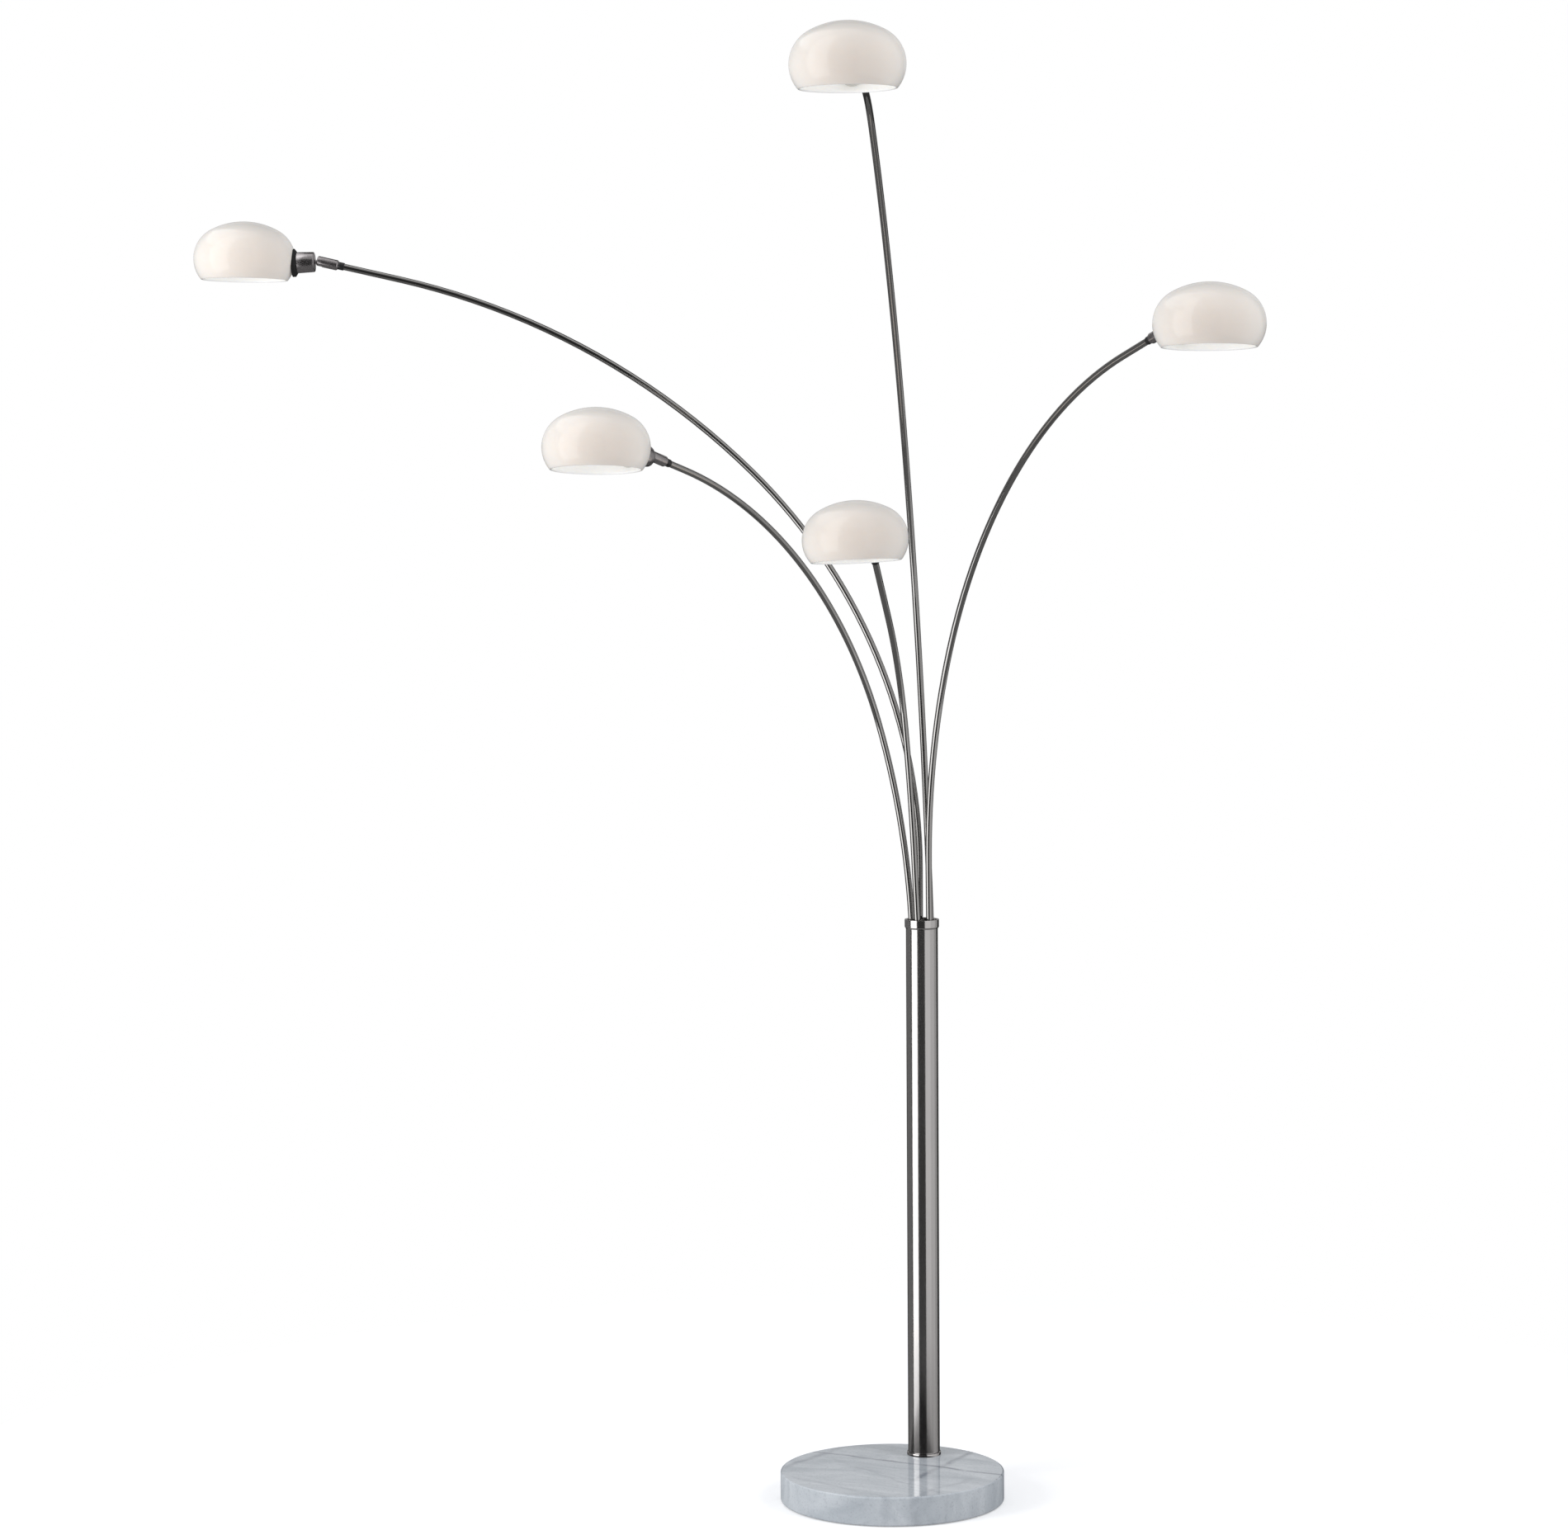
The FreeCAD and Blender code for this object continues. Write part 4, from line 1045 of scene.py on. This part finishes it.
# %% Dome sizes
CROWN_RADIUS, SIDE_RADIUS, SIDE_CENTRE = 103.571, 48.0, 27.0
CROWN_TOP, GLASS_WALL, HOLE_RADIUS = 55.0, 3.5, 13.55
CROWN_CENTRE = CROWN_TOP - CROWN_RADIUS
CROWN_ANGLE = math.degrees(math.asin(SIDE_CENTRE / (CROWN_RADIUS - SIDE_RADIUS)))
RIM_LEVEL = 31.0
RIM_DIP = math.degrees(math.asin((RIM_LEVEL - GLASS_WALL / 2) / (SIDE_RADIUS - GLASS_WALL / 2)))
SIDE_ANGLE = 90 + RIM_DIP - CROWN_ANGLE
SOCKET_DROP, SHADE_PITCH, GLASS_AT = 5.0, 3.0, 38.8
WALL_REACH = SIDE_CENTRE + math.sqrt(SIDE_RADIUS ** 2 - SOCKET_DROP ** 2)
CROWN_STEPS, SIDE_STEPS, RIM_STEPS = 16, 32, 8


def arc(bm, point, centre, angle, steps):
    """Draws an arc by spinning a point about a centre (x, z) in millimetres; returns its end."""
    middle = Vector((centre[0], 0, centre[1])) / 1000
    drawn = bmesh.ops.spin(bm, geom=[point], cent=middle, axis=(0, 1, 0),
                           angle=math.radians(angle), steps=steps, use_duplicate=False)
    return next(item for item in drawn["geom_last"] if isinstance(item, bmesh.types.BMVert))


def outer_line(bm, top):
    """Draws the dome's outer line down from a height in millimetres; returns its lower end."""
    shoulder = arc(bm, bm.verts.new((0, 0, top / 1000)), (0, CROWN_CENTRE), CROWN_ANGLE,
                   CROWN_STEPS)
    return arc(bm, shoulder, (SIDE_CENTRE, 0), SIDE_ANGLE, SIDE_STEPS)


def spin_upright(bm):
    """Spins what is drawn once around the upright axis, and welds the seam and the poles."""
    bmesh.ops.spin(bm, geom=bm.verts[:] + bm.edges[:], cent=(0, 0, 0), axis=(0, 0, 1),
                   angle=math.tau, steps=128, use_merge=True, use_duplicate=False)
    bmesh.ops.remove_doubles(bm, verts=bm.verts, dist=1e-6)


def dome():
    """The glass wall as a closed mesh in its own frame: Z up, the rim below."""
    bm = bmesh.new()
    outer_rim = outer_line(bm, CROWN_TOP)
    dip = math.radians(RIM_DIP)
    middle = SIDE_RADIUS - GLASS_WALL / 2
    rim_centre = (SIDE_CENTRE + middle * math.cos(dip), -middle * math.sin(dip))
    inner_rim = arc(bm, outer_rim, rim_centre, 180, RIM_STEPS)
    inner_shoulder = arc(bm, inner_rim, (SIDE_CENTRE, 0), -SIDE_ANGLE, SIDE_STEPS)
    arc(bm, inner_shoulder, (0, CROWN_CENTRE), -CROWN_ANGLE, CROWN_STEPS)
    spin_upright(bm)
    bmesh.ops.recalc_face_normals(bm, faces=bm.faces)
    return bm


def shade_frame(arm):
    """The dome's own frame: pitched up about the hole in its side."""
    at_hole = Matrix.Translation((GLASS_AT / 1000, 0, 0))
    pitched = Matrix.Rotation(math.radians(-SHADE_PITCH), 4, "Y")
    to_middle = Matrix.Translation((WALL_REACH / 1000, 0, SOCKET_DROP / 1000))
    return head_frame(arm) @ at_hole @ pitched @ to_middle


# %% [markdown]
# The drill is a plain cylinder that comes in from the side at the level of the holder. Faces that
# look at the dome's middle are its inside, and get the bright inner finish.

# %% Blow and drill the domes
DRILL_LENGTH = 30.0
for arm in ARM_NAMES:
    place = shade_frame(arm)
    bm = dome()
    bmesh.ops.transform(bm, matrix=place, verts=bm.verts)
    glass = finished_piece(arm + "_dome", bm, opal_glass, arm + "_head", "opal_glass",
                           arm + "_shade")
    drill = bmesh.new()
    bmesh.ops.create_cone(drill, cap_ends=True, segments=64, radius1=HOLE_RADIUS / 1000,
                          radius2=HOLE_RADIUS / 1000, depth=DRILL_LENGTH / 1000)
    aim = Matrix.Translation((-WALL_REACH / 1000, 0, -SOCKET_DROP / 1000))
    bmesh.ops.transform(drill, matrix=place @ aim @ Matrix.Rotation(math.pi / 2, 4, "Y"),
                        verts=drill.verts)
    cut(glass, drill)
    glass.data.materials.append(opal_inside)
    inward = place.inverted()
    for face in glass.data.polygons:
        middle = inward @ face.center
        outward = (inward.to_3x3() @ face.normal).dot(middle) > 0
        face.material_index = 0 if outward else 1
print("domes:", len(ARM_NAMES))

# %% [markdown]
# ## The gaskets
#
# The rubber ring between cup and glass is dished on both sides, so from the side it is a thin
# crescent. It is turned with a sloping back, and its front is cut by the dome's own curve, a
# little away from the glass. The cutter is that curve's outline, spun and closed below.


# %% Rubber gaskets
def dome_core(grow):
    """Everything inside the dome's outer face, moved outward by some millimetres, as one solid."""
    bm = bmesh.new()
    outer_line(bm, CROWN_TOP + grow)
    spin_upright(bm)
    bmesh.ops.holes_fill(bm, edges=bm.edges)
    bmesh.ops.recalc_face_normals(bm, faces=bm.faces)
    return bm


GASKET_FRONT, GASKET_RADIUS, GASKET_GAP = 42.7, 20.7, 0.3
GASKET = [(CUP_FRONT, HOLE_RADIUS), (CUP_FRONT, 16.4), (38.2, GASKET_RADIUS),
          (GASKET_FRONT, GASKET_RADIUS), (GASKET_FRONT, HOLE_RADIUS)]
for arm in ARM_NAMES:
    gasket = turned_piece(arm + "_dished_gasket", GASKET, head_frame(arm), rubber_black,
                          arm + "_head", "gasket_rubber", arm + "_gasket", edge=0.35)
    curve = dome_core(GASKET_GAP)
    bmesh.ops.transform(curve, matrix=shade_frame(arm), verts=curve.verts)
    cut(gasket, curve)
print("gaskets:", len(ARM_NAMES))
